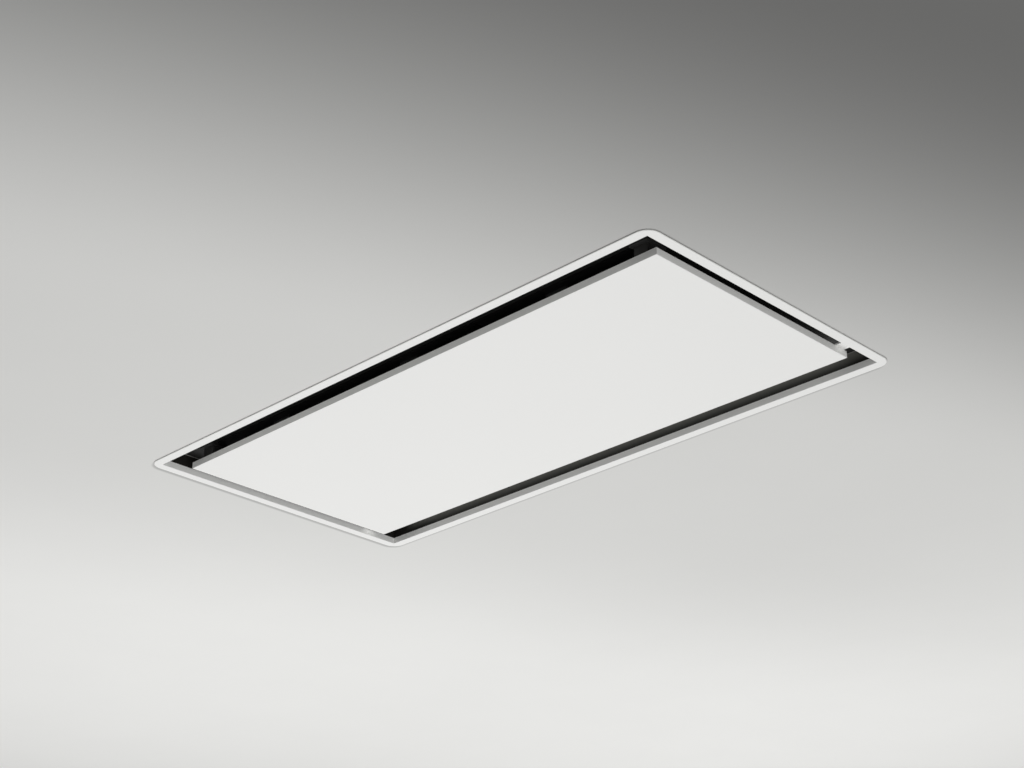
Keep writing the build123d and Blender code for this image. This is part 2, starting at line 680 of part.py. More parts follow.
def light_diffuser(middle):
    """An opal strip that fills the deck's window and rests on its rim."""
    half = WINDOW_WIDTH / 2 - EDGE_GAP
    reach = LIGHT_X - WINDOW_END - EDGE_GAP
    strip = slab(both(reach), (middle - half, middle + half), (DECK_RISE, DECK_TOP))
    wide = LIGHT_WIDTH / 2 - LIGHT_SHEET - EDGE_GAP
    long = LIGHT_X - LIGHT_SHEET - EDGE_GAP
    rim = (DECK_TOP, DECK_TOP + DIFFUSER_FLANGE)
    return strip + slab(both(long), (middle - wide, middle + wide), rim)


def light_board(middle):
    """A strip board with its light-emitting chips, on the channel's ceiling."""
    high = DECK_TOP + LIGHT_HEIGHT - LIGHT_SHEET
    low = high - LED_BOARD_THICK
    reach = LIGHT_X - 2 * LIGHT_SHEET
    half = LED_BOARD_WIDTH / 2
    board = slab(both(reach), (middle - half, middle + half), (low, high))
    chips = []
    for x in spaced(LED_COUNT, reach - 2 * LED_SIZE):
        xs = (x - LED_SIZE / 2, x + LED_SIZE / 2)
        ys = (middle - LED_SIZE / 2, middle + LED_SIZE / 2)
        chips.append(slab(xs, ys, (low - LED_THICK, low)))
    return board + chips


# ---- the housing above the ceiling ----


def bead(xs, ys):
    """A pressed bead on the plenum's top: what is added and what is taken away below it."""
    raised = slab(xs, ys, (PLENUM_TOP, PLENUM_TOP + BEAD_RISE))
    raised = fillet(raised.edges().filter_by(Axis.Z), BEAD_WIDTH / 2 - BODY_SHEET)
    raised = fillet(raised.faces().sort_by(Axis.Z)[-1].edges(), BEAD_RISE / 2)
    inset = 2 * BODY_SHEET
    hollow = slab((xs[0] + inset, xs[1] - inset), (ys[0] + inset, ys[1] - inset),
                  (PLENUM_TOP - BODY_SHEET, PLENUM_TOP + BEAD_RISE - BODY_SHEET))
    return raised, hollow


def plenum_shell():
    """The galvanised box round the collar, closed above except under the blower box."""
    under = PLENUM_TOP - BODY_SHEET
    shell = slab(both(SHELL_OUT_X), both(SHELL_OUT_Y), (BODY_RISE, PLENUM_TOP))
    shell = fillet(shell.edges().filter_by(Axis.Z), PLENUM_BEND_R)
    shell -= slab(both(SHELL_X), both(SHELL_Y), (BODY_RISE, under))
    shell -= slab(both(BOX_X - BODY_SHEET), both(BOX_Y - BODY_SHEET), (under, PLENUM_TOP))
    near = BOX_Y + BOX_FLANGE + BEAD_WIDTH / 2
    for middle in both(near + BEAD_WIDTH / 2):
        ys = (middle - BEAD_WIDTH / 2, middle + BEAD_WIDTH / 2)
        raised, hollow = bead(both(BOX_X + BOX_FLANGE), ys)
        shell = shell + raised - hollow
    sites = box_screw_sites() + hanger_screw_sites() + driver_screw_sites()
    cuts = [screw_hole((x, y, PLENUM_TOP), BODY_SHEET) for x, y, _ in sites]
    return shell - cuts - wall_holes(SHELL_X, SHELL_Y)


def blower_box():
    """The raised housing over the blower, with a foot flange and the outlet hole."""
    foot_x = BOX_LENGTH + 2 * BOX_FLANGE
    foot_y = BOX_WIDTH + 2 * BOX_FLANGE
    foot = extrude(RectangleRounded(foot_x, foot_y, BOX_CORNER_R), BODY_SHEET)
    tower = extrude(RectangleRounded(BOX_LENGTH, BOX_WIDTH, BOX_CORNER_R), BOX_TOP - PLENUM_TOP)
    tower = fillet(tower.faces().sort_by(Axis.Z)[-1].edges(), BODY_SHEET)
    room = RectangleRounded(BOX_LENGTH - 2 * BODY_SHEET, BOX_WIDTH - 2 * BODY_SHEET,
                            BOX_CORNER_R - BODY_SHEET)
    box = foot + tower - extrude(room, BOX_CEILING - PLENUM_TOP)
    box = Pos(0, 0, PLENUM_TOP) * box
    box -= rod((0, 0, BOX_CEILING), UP, DUCT_BORE_R, BODY_SHEET)
    cuts = [screw_hole(site, BODY_SHEET) for site in box_screw_sites()]
    for x, y, _ in outlet_screw_sites() + volute_screw_sites():
        cuts.append(screw_hole((x, y, BOX_TOP), BODY_SHEET))
    return box - cuts


def hanger(x_way, y_way):
    """A Z-shaped bracket on the plenum's top, with a hole for a ceiling rod in its ear."""
    xs = (HANGER_X - HANGER_WIDTH / 2, HANGER_X + HANGER_WIDTH / 2)
    web = HANGER_Y - HANGER_EAR / 2
    foot = slab(xs, (web - HANGER_FOOT, web), (PLENUM_TOP, PLENUM_TOP + HANGER_SHEET))
    wall = slab(xs, (web - HANGER_SHEET, web), (PLENUM_TOP, EAR_TOP))
    ear = slab(xs, (web - HANGER_SHEET, HANGER_Y + HANGER_EAR / 2), (EAR_TOP - HANGER_SHEET, EAR_TOP))
    ear = fillet(ear.faces().sort_by(Axis.Y)[-1].edges().filter_by(Axis.Z), HANGER_HOLE_R)
    bracket = foot + wall + ear
    bracket -= rod((HANGER_X, HANGER_Y, EAR_TOP - HANGER_SHEET), UP, HANGER_HOLE_R, HANGER_SHEET)
    top = PLENUM_TOP + HANGER_SHEET
    bracket -= [screw_hole((x, HANGER_SCREW_Y, top), HANGER_SHEET) for x in HANGER_SCREW_X]
    if x_way < 0:
        bracket = mirrored(bracket)
    return mirror(bracket, about=Plane.XZ) if y_way < 0 else bracket


def duct_collar():
    """The round outlet, with a seat for the flaps and holes for their pin."""
    flange = tube((0, 0, BOX_TOP), UP, DUCT_R + DUCT_FLANGE, DUCT_BORE_R, DUCT_FLANGE_THICK)
    spigot = tube((0, 0, BOX_TOP), UP, DUCT_R, DUCT_BORE_R, DUCT_HEIGHT)
    seat_top = DAMPER_Z - FLAP_SHEET / 2 - EDGE_GAP
    seat = tube((0, 0, seat_top - FLAP_STOP_THICK), UP, DUCT_R - DUCT_WALL / 2,
                DUCT_BORE_R - FLAP_STOP_WIDTH, FLAP_STOP_THICK)
    spigot = fillet(spigot.edges().group_by(Axis.Z)[-1], DUCT_SOFT_R)
    collar = flange + spigot + seat
    collar -= rod((-DUCT_R, 0, DAMPER_Z), RIGHT, DAMPER_PIN_R + TIGHT_FIT, 2 * DUCT_R)
    return collar - [screw_hole(site, DUCT_FLANGE_THICK) for site in outlet_screw_sites()]


def damper_pin():
    """The pin across the outlet, a little short of its outer wall."""
    reach = DUCT_R - DUCT_PIN_INSET
    return rod((-reach, 0, DAMPER_Z), RIGHT, DAMPER_PIN_R, 2 * reach)


def damper_flap(side, starts):
    """Half a disc on knuckles round the pin; side is +1 for the rear half and -1 for the front."""
    radius = DUCT_BORE_R - FLAP_EDGE_GAP
    low = DAMPER_Z - FLAP_SHEET / 2
    disc = rod((0, 0, low), UP, radius, FLAP_SHEET)
    ys = sorted((side * FLAP_ROOT, side * radius * 2))
    disc &= slab(both(radius), ys, (low, low + FLAP_SHEET))
    pieces = [disc]
    for start in starts:
        web_y = sorted((0, side * FLAP_ROOT * 1.5))
        pieces.append(slab((start, start + FLAP_KNUCKLE), web_y, (low, low + FLAP_SHEET)))
        pieces.append(rod((start, 0, DAMPER_Z), RIGHT, FLAP_KNUCKLE_R, FLAP_KNUCKLE))
    flap = fused(pieces)
    return flap - rod((-DUCT_R, 0, DAMPER_Z), RIGHT, DAMPER_PIN_R + RUN_FIT, 2 * DUCT_R)


# ---- the blower ----


def scroll_point(angle, extra):
    """A point of the scroll's curve at an angle in radians, as Y and Z."""
    share = (angle - SCROLL_START) / (2 * math.pi - SCROLL_START)
    radius = SCROLL_START_R + (SCROLL_END_R - SCROLL_START_R) * share + extra
    return (BLOWER_Y + radius * math.cos(angle), BLOWER_RISE + radius * math.sin(angle))


def scroll_curve(extra):
    pace = (2 * math.pi - SCROLL_START) / SCROLL_STEPS
    return [scroll_point(SCROLL_START + pace * step, extra) for step in range(SCROLL_STEPS + 1)]


def scroll_face(extra, top):
    """The area inside the scroll and its outlet, grown by a margin."""
    curve = scroll_curve(extra)
    front = curve[0][0] - extra
    outline = [
        Spline(*[(y, z) for y, z in curve]),
        Line(curve[-1], (curve[-1][0], top)),
        Line((curve[-1][0], top), (front, top)),
        Line((front, top), (front, curve[0][1])),
    ]
    if extra:
        outline.append(Line((front, curve[0][1]), curve[0]))
    return make_face(outline)


def volute_wrap():
    """The scroll sheet between the side plates, with its outlet flanges."""
    top = BOX_CEILING
    outside = extrude(Plane.YZ * scroll_face(SCROLL_SHEET, top), SCROLL_HALF, both=True)
    inside = extrude(Plane.YZ * scroll_face(0, top), SCROLL_HALF, both=True)
    wrap = outside - inside
    flange_z = (top - SCROLL_SHEET, top)
    front = scroll_point(SCROLL_START, 0)[0]
    rear = scroll_point(2 * math.pi, 0)[0]
    wrap += slab(both(SCROLL_HALF), (front - OUTLET_FLANGE, front), flange_z)
    return wrap + slab(both(SCROLL_HALF), (rear, rear + OUTLET_FLANGE), flange_z)


def volute_side():
    """The right-hand side plate with its drawn inlet rim and outlet flange."""
    top = BOX_CEILING
    plate = extrude(Plane.YZ * scroll_face(SCROLL_MARGIN, top), SCROLL_SHEET)
    plate = Pos(SCROLL_HALF, 0, 0) * plate
    front = scroll_point(SCROLL_START, 0)[0] - SCROLL_MARGIN
    rear = scroll_point(2 * math.pi, 0)[0] + SCROLL_MARGIN
    plate += slab((SCROLL_HALF, SCROLL_OUT_X + OUTLET_FLANGE), (front, rear), (top - SCROLL_SHEET, top))
    centre = (SCROLL_HALF, BLOWER_Y, BLOWER_RISE)
    plate += rod(centre, RIGHT, INLET_R + SCROLL_SHEET, INLET_RIM)
    plate -= rod(centre, RIGHT, INLET_R, INLET_RIM)
    for y, z in spider_points(SPIDER_BOLT_R):
        plate -= rod((SCROLL_HALF, y, z), RIGHT, SCREW_R + HOLE_FIT, SCROLL_SHEET)
    cuts = []
    for x, y, _ in volute_screw_sites():
        if x > 0:
            cuts.append(screw_hole((x, y, top), SCROLL_SHEET))
    return plate - cuts


def impeller():
    """A wheel of forward-curved blades either side of a middle disc."""
    centre = (0, BLOWER_Y, BLOWER_RISE)
    disc = rod((-WHEEL_SHEET, BLOWER_Y, BLOWER_RISE), RIGHT, WHEEL_R, WHEEL_SHEET)
    hub = rod((-HUB_LENGTH, BLOWER_Y, BLOWER_RISE), RIGHT, HUB_R, HUB_LENGTH)
    pieces = [disc, hub]
    rim_inner = WHEEL_R - WHEEL_SHEET * 3
    for start in (-WHEEL_HALF, WHEEL_HALF - WHEEL_SHEET):
        pieces.append(tube((start, BLOWER_Y, BLOWER_RISE), RIGHT, WHEEL_R, rim_inner, WHEEL_SHEET))
    sketch = blade_profile()
    blade = extrude(Plane.YZ * sketch, WHEEL_HALF, both=True)
    for step in range(BLADE_COUNT):
        turn = Rot(360 * step / BLADE_COUNT, 0, 0)
        pieces.append(Pos(*centre) * turn * blade)
    wheel = fused(pieces)
    return wheel - rod((-HUB_LENGTH, BLOWER_Y, BLOWER_RISE), RIGHT, SHAFT_R + TIGHT_FIT, HUB_LENGTH)


def blade_profile():
    """One blade's cross-section near the wheel's rim, about the wheel's axis."""
    outer_r = WHEEL_R - WHEEL_SHEET / 2
    front, back = [], []
    for share in (0.0, 0.5, 1.0):
        radius = WHEEL_INNER_R + (outer_r - WHEEL_INNER_R) * share
        angle = math.radians(BLADE_SWEEP * share * share)
        half = BLADE_THICK / 2 / radius
        front.append((radius * math.cos(angle + half), radius * math.sin(angle + half)))
        back.append((radius * math.cos(angle - half), radius * math.sin(angle - half)))
    return make_face([
        ThreePointArc(*front),
        Line(front[-1], back[-1]),
        ThreePointArc(*reversed(back)),
        Line(back[0], front[0]),
    ])


def motor_shaft():
    start = -HUB_LENGTH - WHEEL_SHEET
    return rod((start, BLOWER_Y, BLOWER_RISE), RIGHT, SHAFT_R, MOTOR_BACK - start)


def motor_body():
    """A cylindrical motor with end bosses, cooling slots and a bore for its shaft."""
    can = rod((MOTOR_FRONT, BLOWER_Y, BLOWER_RISE), RIGHT, MOTOR_R, MOTOR_LENGTH)
    ends = can.edges().filter_by(GeomType.CIRCLE)
    can = fillet(ends, CLAMP_SHEET)
    nose = rod((MOTOR_FRONT - MOTOR_BOSS, BLOWER_Y, BLOWER_RISE), RIGHT, MOTOR_BOSS_R,
               MOTOR_LENGTH + 2 * MOTOR_BOSS)
    motor = can + nose
    place = Pos(MOTOR_FRONT + MOTOR_SLOT_INSET, BLOWER_Y, BLOWER_RISE)
    for step in range(MOTOR_SLOTS):
        turn = Rot(360 * (step + 0.5) / MOTOR_SLOTS, 0, 0)
        motor -= place * turn * Pos(0, MOTOR_R, 0) * Box(*MOTOR_SLOT)
    bore = rod((MOTOR_FRONT - MOTOR_BOSS, BLOWER_Y, BLOWER_RISE), RIGHT, SHAFT_R + RUN_FIT,
               MOTOR_LENGTH + 2 * MOTOR_BOSS)
    return motor - bore


def motor_bracket():
    """A clamp ring round the motor with three arms to the volute."""
    start = MOTOR_BACK - CLAMP_WIDTH - CLAMP_SHEET
    axis = (start, BLOWER_Y, BLOWER_RISE)
    ring = rod(axis, RIGHT, MOTOR_R + CLAMP_SHEET, CLAMP_WIDTH)
    arms = [ring]
    end = SPIDER_BOLT_R + SPIDER_WIDTH / 2
    for arm in range(SPIDER_ARMS):
        bar = slab((SPIDER_X - CLAMP_SHEET, SPIDER_X), (MOTOR_R, end), both(SPIDER_WIDTH / 2))
        bar = fillet(bar.faces().sort_by(Axis.Y)[-1].edges().filter_by(Axis.X), SPIDER_WIDTH / 3)
        turn = Rot(SPIDER_START_DEG + 360 * arm / SPIDER_ARMS, 0, 0)
        arms.append(Pos(0, BLOWER_Y, BLOWER_RISE) * turn * bar)
    bracket = fused(arms)
    bracket -= rod(axis, RIGHT, MOTOR_R + TIGHT_FIT, CLAMP_WIDTH)
    for y, z in spider_points(SPIDER_BOLT_R):
        bracket -= rod((SPIDER_X - CLAMP_SHEET, y, z), RIGHT, SCREW_R + HOLE_FIT, CLAMP_SHEET)
    return bracket


def motor_grommets():
    """Rubber buffers between the motor bracket and the volute."""
    buffers = []
    length = SPIDER_X - CLAMP_SHEET - SCROLL_OUT_X
    for y, z in spider_points(SPIDER_BOLT_R):
        buffer = rod((SCROLL_OUT_X, y, z), RIGHT, GROMMET_R, length)
        waist = Pos(SCROLL_OUT_X + length / 2, y, z) * Rot(0, 90, 0) * Torus(GROMMET_R, length / 4)
        buffers.append(buffer - waist - rod((SCROLL_OUT_X, y, z), RIGHT, SCREW_R + HOLE_FIT, length))
    return Compound(buffers)


def inlet_guard():
    """A wire guard over the left-hand inlet."""
    face_x = -SCROLL_OUT_X - GUARD_STAND
    reach = SPIDER_BOLT_R - 2 * GUARD_SPOKE_R - SCREW_HEAD_R - SIDE_GAP
    pieces = []
    for step in range(1, GUARD_RINGS + 1):
        ring = Rot(0, 90, 0) * Torus(reach * step / GUARD_RINGS, GUARD_WIRE_R)
        pieces.append(Pos(face_x, BLOWER_Y, BLOWER_RISE) * ring)
    for arm in range(SPIDER_ARMS):
        turn = Pos(0, BLOWER_Y, BLOWER_RISE) * Rot(SPIDER_START_DEG + 360 * arm / SPIDER_ARMS, 0, 0)
        spoke = rod((face_x, 0, 0), (0, 1, 0), GUARD_SPOKE_R, reach)
        leg = slab((face_x - GUARD_SPOKE_R, -SCROLL_OUT_X), (reach, reach + 2 * GUARD_SPOKE_R),
                   both(GUARD_SPOKE_R * 2))
        foot = slab((-SCROLL_OUT_X - GUARD_FOOT, -SCROLL_OUT_X),
                    (reach, SPIDER_BOLT_R + SPIDER_WIDTH / 2), both(SPIDER_WIDTH / 2))
        hole_at = (-SCROLL_OUT_X - GUARD_FOOT, SPIDER_BOLT_R, 0)
        foot -= rod(hole_at, RIGHT, SCREW_R + HOLE_FIT, GUARD_FOOT)
        pieces += [turn * spoke, turn * leg, turn * foot]
    return fused(pieces)


def volute_screws():
    """Screws of the motor bracket and of the inlet guard."""
    pieces = []
    for y, z in spider_points(SPIDER_BOLT_R):
        pieces.append(long_screw((SPIDER_X, y, z)))
        pieces.append(screw((-SCROLL_OUT_X - GUARD_FOOT, y, z), LEFT))
    return Compound(pieces)


def long_screw(point):
    """A screw that reaches from the bracket through its buffer and the side plate."""
    reach = point[0] - SCROLL_HALF + WHEEL_SHEET
    return screw(point, RIGHT) + rod(point, LEFT, SCREW_R, reach)


# ---- electrical parts ----


def control_case():
    xs = (CASE_X - CASE_LENGTH / 2, CASE_X + CASE_LENGTH / 2)
    case = slab(xs, both(CASE_WIDTH / 2), (PLENUM_TOP, CASE_TOP))
    case = fillet(case.edges().filter_by(Axis.Z), CASE_SHEET)
    inner_y = CASE_WIDTH / 2 - CASE_SHEET
    case -= slab((xs[0] + CASE_SHEET, xs[1] - CASE_SHEET), both(inner_y), (CASE_FLOOR, CASE_TOP))
    post = CASE_SCREW_EDGE - CASE_SHEET / 2
    for x, y, _ in lid_screw_sites():
        case += rod((x, y, CASE_FLOOR), UP, post, CASE_HEIGHT - CASE_SHEET)
    case -= [screw_hole((x, y, CASE_TOP), SCREW_LENGTH * 2) for x, y, _ in lid_screw_sites()]
    for x, y in board_posts():
        case += rod((x, y, CASE_FLOOR), UP, STANDOFF_R, STANDOFF_HEIGHT)
    gland = (xs[0], 0, PLENUM_TOP + CASE_HEIGHT / 2)
    return case - rod(gland, RIGHT, GLAND_THREAD_R + HOLE_FIT, CASE_SHEET)


def board_middle():
    """The circuit board's middle along X, at the end of the case away from the gland."""
    return CASE_X + CASE_LENGTH / 2 - CASE_SHEET - BOARD_LENGTH / 2 - STANDOFF_R


def board_posts():
    x = BOARD_LENGTH / 2 - 3 * STANDOFF_R
    y = BOARD_WIDTH / 2 - 4 * STANDOFF_R
    return [(board_middle() + side, along) for side in both(x) for along in both(y)]


def control_lid():
    xs = (CASE_X - CASE_LENGTH / 2, CASE_X + CASE_LENGTH / 2)
    lid = slab(xs, both(CASE_WIDTH / 2), (CASE_TOP, CASE_TOP + CASE_SHEET))
    lid = fillet(lid.edges().filter_by(Axis.Z), CASE_SHEET)
    skirt_x = (xs[0] - EDGE_GAP - CASE_SHEET, xs[1] + EDGE_GAP + CASE_SHEET)
    skirt_y = CASE_WIDTH / 2 + EDGE_GAP + CASE_SHEET
    skirt = slab(skirt_x, both(skirt_y), (CASE_TOP - LID_RIM, CASE_TOP + CASE_SHEET))
    skirt = fillet(skirt.faces().sort_by(Axis.Z)[-1].edges(), CASE_SHEET / 2)
    room_x = (xs[0] - EDGE_GAP, xs[1] + EDGE_GAP)
    skirt -= slab(room_x, both(skirt_y - CASE_SHEET), (CASE_TOP - LID_RIM, CASE_TOP))
    lid = lid + skirt
    return lid - [screw_hole(site, CASE_SHEET) for site in lid_screw_sites()]


def standing(size, corner):
    """A block of one size that stands on a corner point, as a component does on its board."""
    ends = [(low, low + length) for low, length in zip(corner, size)]
    return slab(*ends)


def control_board():
    """The circuit board with its transformer, relays, terminal row, cans and chip."""
    low = CASE_FLOOR + STANDOFF_HEIGHT
    top = low + BOARD_THICK
    x0 = board_middle() - BOARD_LENGTH / 2
    y0 = -BOARD_WIDTH / 2
    pieces = [standing((BOARD_LENGTH, BOARD_WIDTH, BOARD_THICK), (x0, y0, low))]
    pieces.append(standing(TRANSFORMER, (x0 + BOARD_EDGE, y0 + BOARD_EDGE, top)))
    first = x0 + 2 * BOARD_EDGE + TRANSFORMER[0]
    for index in range(RELAY_COUNT):
        corner = (first + index * (RELAY[0] + BOARD_EDGE), y0 + BOARD_EDGE, top)
        pieces.append(standing(RELAY, corner))
    for index in range(CAN_COUNT):
        x = x0 + BOARD_LENGTH - BOARD_EDGE - CAN_R - index * 3 * CAN_R
        pieces.append(rod((x, 0, top), UP, CAN_R, CAN_HEIGHT))
    row = (BOARD_LENGTH - 2 * BOARD_EDGE, TERMINAL_DEPTH, TERMINAL_HEIGHT)
    pieces.append(standing(row, (x0 + BOARD_EDGE, -y0 - TERMINAL_DEPTH - BOARD_EDGE / 2, top)))
    pieces.append(standing(CHIP, (board_middle() - CHIP[0], 0, top)))
    return fused(pieces)


def capacitor():
    """The motor's run capacitor, on a saddle on the case's floor."""
    x0 = CASE_X - CASE_LENGTH / 2 + CASE_SHEET + GLAND_HEX * 2
    middle = x0 + CAPACITOR_R
    rise = CASE_FLOOR + CAPACITOR_R + CASE_SHEET
    can = rod((middle, -CAPACITOR_LENGTH / 2, rise), (0, 1, 0), CAPACITOR_R, CAPACITOR_LENGTH)
    can = fillet(can.edges().filter_by(GeomType.CIRCLE), CASE_SHEET)
    half = SADDLE_WIDTH / 2
    saddle = slab((middle - half, middle + half), both(CAPACITOR_LENGTH / 4), (CASE_FLOOR, rise))
    return can + saddle


def cable_gland():
    """A screwed cable entry with a free bore; its cable is not part of the model."""
    x = CASE_X - CASE_LENGTH / 2
    z = PLENUM_TOP + CASE_HEIGHT / 2
    hexagon = RegularPolygon(GLAND_HEX_R, 6)
    nut = extrude(Plane(origin=(x, 0, z), z_dir=LEFT) * hexagon, GLAND_HEX)
    lock = extrude(Plane(origin=(x + CASE_SHEET, 0, z), z_dir=RIGHT) * hexagon, GLAND_HEX / 2)
    dome = rod((x - GLAND_HEX, 0, z), LEFT, GLAND_THREAD_R, GLAND_DOME)
    dome = fillet(dome.edges().sort_by(Axis.X)[0], GLAND_HEX / 3)
    neck = rod((x, 0, z), RIGHT, GLAND_THREAD_R, CASE_SHEET + GLAND_HEX)
    gland = nut + lock + dome + neck
    start = x - GLAND_HEX - GLAND_DOME
    return gland - rod((start, 0, z), RIGHT, GLAND_BORE_R, x + CASE_SHEET + GLAND_HEX - start)


def led_driver():
    half = DRIVER_LENGTH / 2 - DRIVER_EAR
    body = slab((DRIVER_X - half, DRIVER_X + half), both(DRIVER_WIDTH / 2),
                (PLENUM_TOP, PLENUM_TOP + DRIVER_HEIGHT))
    body = fillet(body.faces().sort_by(Axis.Z)[-1].edges(), DRIVER_EAR_THICK)
    ears = slab((DRIVER_X - DRIVER_LENGTH / 2, DRIVER_X + DRIVER_LENGTH / 2), both(DRIVER_EAR),
                (PLENUM_TOP, PLENUM_TOP + DRIVER_EAR_THICK))
    return body + ears - [screw_hole(site, DRIVER_EAR_THICK) for site in driver_screw_sites()]


# ---- fasteners ----


def wall_rivets():
    return Compound([rivet(*site) for site in collar_rivet_sites()])


def case_screws():
    """Every vertical screw of the housing, the collar, the hangers and the electrical parts."""
    sites = box_screw_sites() + outlet_screw_sites() + volute_screw_sites()
    sites += hanger_screw_sites() + lid_screw_sites() + driver_screw_sites()
    return Compound([screw(site, UP) for site in sites])


def arm_screws():
    return Compound([screw(site, UP) for site in arm_screw_sites()])


def knuckle_starts():
    """Where the flaps' knuckles start along the pin, taken in turn by the two flaps."""
    step = FLAP_KNUCKLE + SIDE_GAP
    first = (1 - FLAP_KNUCKLE_COUNT) / 2 * step - FLAP_KNUCKLE / 2
    return [first + step * index for index in range(FLAP_KNUCKLE_COUNT)]


def filter_middles():
    return [FILTER_PITCH * (index - (FILTER_COUNT - 1) / 2) for index in range(FILTER_COUNT)]


def all_parts():
    parts = {
        "trim_frame": trim_frame(),
        "inner_collar": inner_collar(),
        "filter_deck": filter_deck(),
        "plenum_shell": plenum_shell(),
        "blower_box": blower_box(),
        "duct_collar": duct_collar(),
        "damper_pin": damper_pin(),
        "damper_flap_rear": damper_flap(1, knuckle_starts()[1::2]),
        "damper_flap_front": damper_flap(-1, knuckle_starts()[::2]),
        "volute_wrap": volute_wrap(),
        "volute_side_right": volute_side(),
        "volute_side_left": mirrored(volute_side()),
        "inlet_guard": inlet_guard(),
        "motor_body": motor_body(),
        "motor_bracket": motor_bracket(),
        "motor_grommets": motor_grommets(),
        "motor_shaft": motor_shaft(),
        "impeller": impeller(),
        "control_case": control_case(),
        "control_lid": control_lid(),
        "control_board": control_board(),
        "capacitor": capacitor(),
        "cable_gland": cable_gland(),
        "led_driver": led_driver(),
        "panel_tray": panel_tray(),
        "panel_back": panel_back(),
        "catch_magnets": catch_magnets(),
        "wall_rivets": wall_rivets(),
        "case_screws": case_screws(),
        "volute_screws": volute_screws(),
        "arm_screws": arm_screws(),
    }
    for side, y_way in (("front", -1), ("rear", 1)):
        parts["light_channel_" + side] = light_channel(y_way * LIGHT_Y)
        parts["light_diffuser_" + side] = light_diffuser(y_way * LIGHT_Y)
        parts["light_board_" + side] = light_board(y_way * LIGHT_Y)
        parts["hanger_" + side + "_right"] = hanger(1, y_way)
        parts["hanger_" + side + "_left"] = hanger(-1, y_way)
    paired = {"hinge_arm": hinge_arm(), "hinge_bracket": hinge_bracket(), "hinge_pin": hinge_pin(),
              "striker": striker(), "catch_body": catch_body()}
    for name, piece in paired.items():
        parts[name + "_right"] = piece
        parts[name + "_left"] = mirrored(piece)
    for index, middle in enumerate(filter_middles(), 1):
        parts["filter_frame_" + str(index)] = filter_frame(middle)
        parts["filter_mesh_" + str(index)] = filter_mesh(middle)
        parts["filter_latch_" + str(index)] = filter_latch(middle)
    return parts


os.makedirs("parts", exist_ok=True)
for node, shape in all_parts().items():
    export_step(shape, "parts/" + node + ".step")
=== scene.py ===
import json
import math

import bmesh
import bpy
from bpy.props import FloatProperty, FloatVectorProperty, PointerProperty
from mathutils import Matrix, Quaternion, Vector


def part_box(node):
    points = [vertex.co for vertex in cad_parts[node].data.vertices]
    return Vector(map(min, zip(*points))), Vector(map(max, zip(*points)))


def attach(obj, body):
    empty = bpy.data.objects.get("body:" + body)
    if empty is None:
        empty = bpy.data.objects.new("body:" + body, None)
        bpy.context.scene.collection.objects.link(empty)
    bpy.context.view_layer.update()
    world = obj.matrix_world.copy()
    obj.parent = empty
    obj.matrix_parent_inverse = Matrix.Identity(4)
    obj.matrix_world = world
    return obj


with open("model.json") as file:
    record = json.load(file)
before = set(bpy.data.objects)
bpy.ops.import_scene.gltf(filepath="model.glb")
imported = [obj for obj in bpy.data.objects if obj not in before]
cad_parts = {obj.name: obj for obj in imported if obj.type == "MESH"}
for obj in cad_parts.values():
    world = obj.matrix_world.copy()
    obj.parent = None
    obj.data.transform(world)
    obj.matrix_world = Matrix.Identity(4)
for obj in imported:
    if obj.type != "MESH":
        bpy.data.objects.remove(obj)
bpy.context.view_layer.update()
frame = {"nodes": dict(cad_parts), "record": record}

bl_info = {
    "name": "Ceiling Range Hood",
    "version": (1, 0, 0),
    "blender": (4, 5, 0),
    "location": "View3D > Sidebar > Hood",
    "description": "Finishes a flush ceiling range hood and sets its ceiling, light and camera",
    "category": "Object",
}

MM = 0.001
SLOTS = {part["node"]: part["material_slot"] for part in frame["record"]["subparts"]}

# Directions along which colours, painted light and painted shade fade
UP = (0.0, 0.0, 1.0)
DOWN = (0.0, 0.0, -1.0)
LEFT = (-1.0, 0.0, 0.0)
TO_RIGHT = (0.937, -0.348, 0.0)
BEHIND_HOOD = (0.2, 0.98, 0.0)

# Where the white paint is painted lighter on the lip and the panel's sides towards the left, as painted
# light, and where it turns back to plain white on the faces below them
LIT_SIDES_FADE = (-0.45, 0.45)
UNDERSIDE_FADE = (-1.5 * MM, -0.5 * MM)

# Where the collar's painted shadow at its left end fades in, and where the light line painted along its
# top edge lies
COLLAR_END_SHADOW_FADE = (-55 * MM, -25 * MM)
COLLAR_EDGE_FADE = (-1.3 * MM, -0.8 * MM)

# Where the ceiling's painted light and shade change from one tone to the next, along the last two
# directions
MIDDLE_FADE = (-1.1, -0.3)
NEAR_FADE = (0.14, 1.04)
FAR_FADE = (0.6, 2.2)

# The trim's shadow on the ceiling: how dark it is, and its shift in widths along X and Y
SHADOW_TONE = 0.66
SHADOW_SHIFT_X = 2.0
SHADOW_SHIFT_Y = -1.0

# Colours of small parts
BLACKENED_STEEL = (0.05, 0.05, 0.05)
CATCH_PLASTIC = (0.03, 0.03, 0.029)
FERRITE = (0.035, 0.035, 0.038)
LATCH_PLASTIC = (0.02, 0.02, 0.02)
OPAL = (0.72, 0.72, 0.7)
BOARD_WHITE = (0.75, 0.75, 0.72)
WHEEL_PLASTIC = (0.05, 0.05, 0.055)
CAST_ALLOY = (0.5, 0.51, 0.52)
RUBBER = (0.02, 0.02, 0.02)
DUCT_PLASTIC = (0.025, 0.025, 0.027)
FLAP_PLASTIC = (0.16, 0.165, 0.17)
CASE_GREY = (0.33, 0.34, 0.35)
BOARD_GREEN = (0.02, 0.13, 0.06)
CAPACITOR_CAN = (0.7, 0.7, 0.68)
GLAND_GREY = (0.4, 0.4, 0.4)
DRIVER_WHITE = (0.66, 0.66, 0.64)
DUST = (0.42, 0.4, 0.37)
EVEN_LIGHT = (1.0, 1.0, 0.99)

# How far the expanded sheet lies over its frame's face, in strands, and the volute's share of
# the spangle's width
SCREEN_LIFT = 0.6
VOLUTE_SPANGLE = 0.7

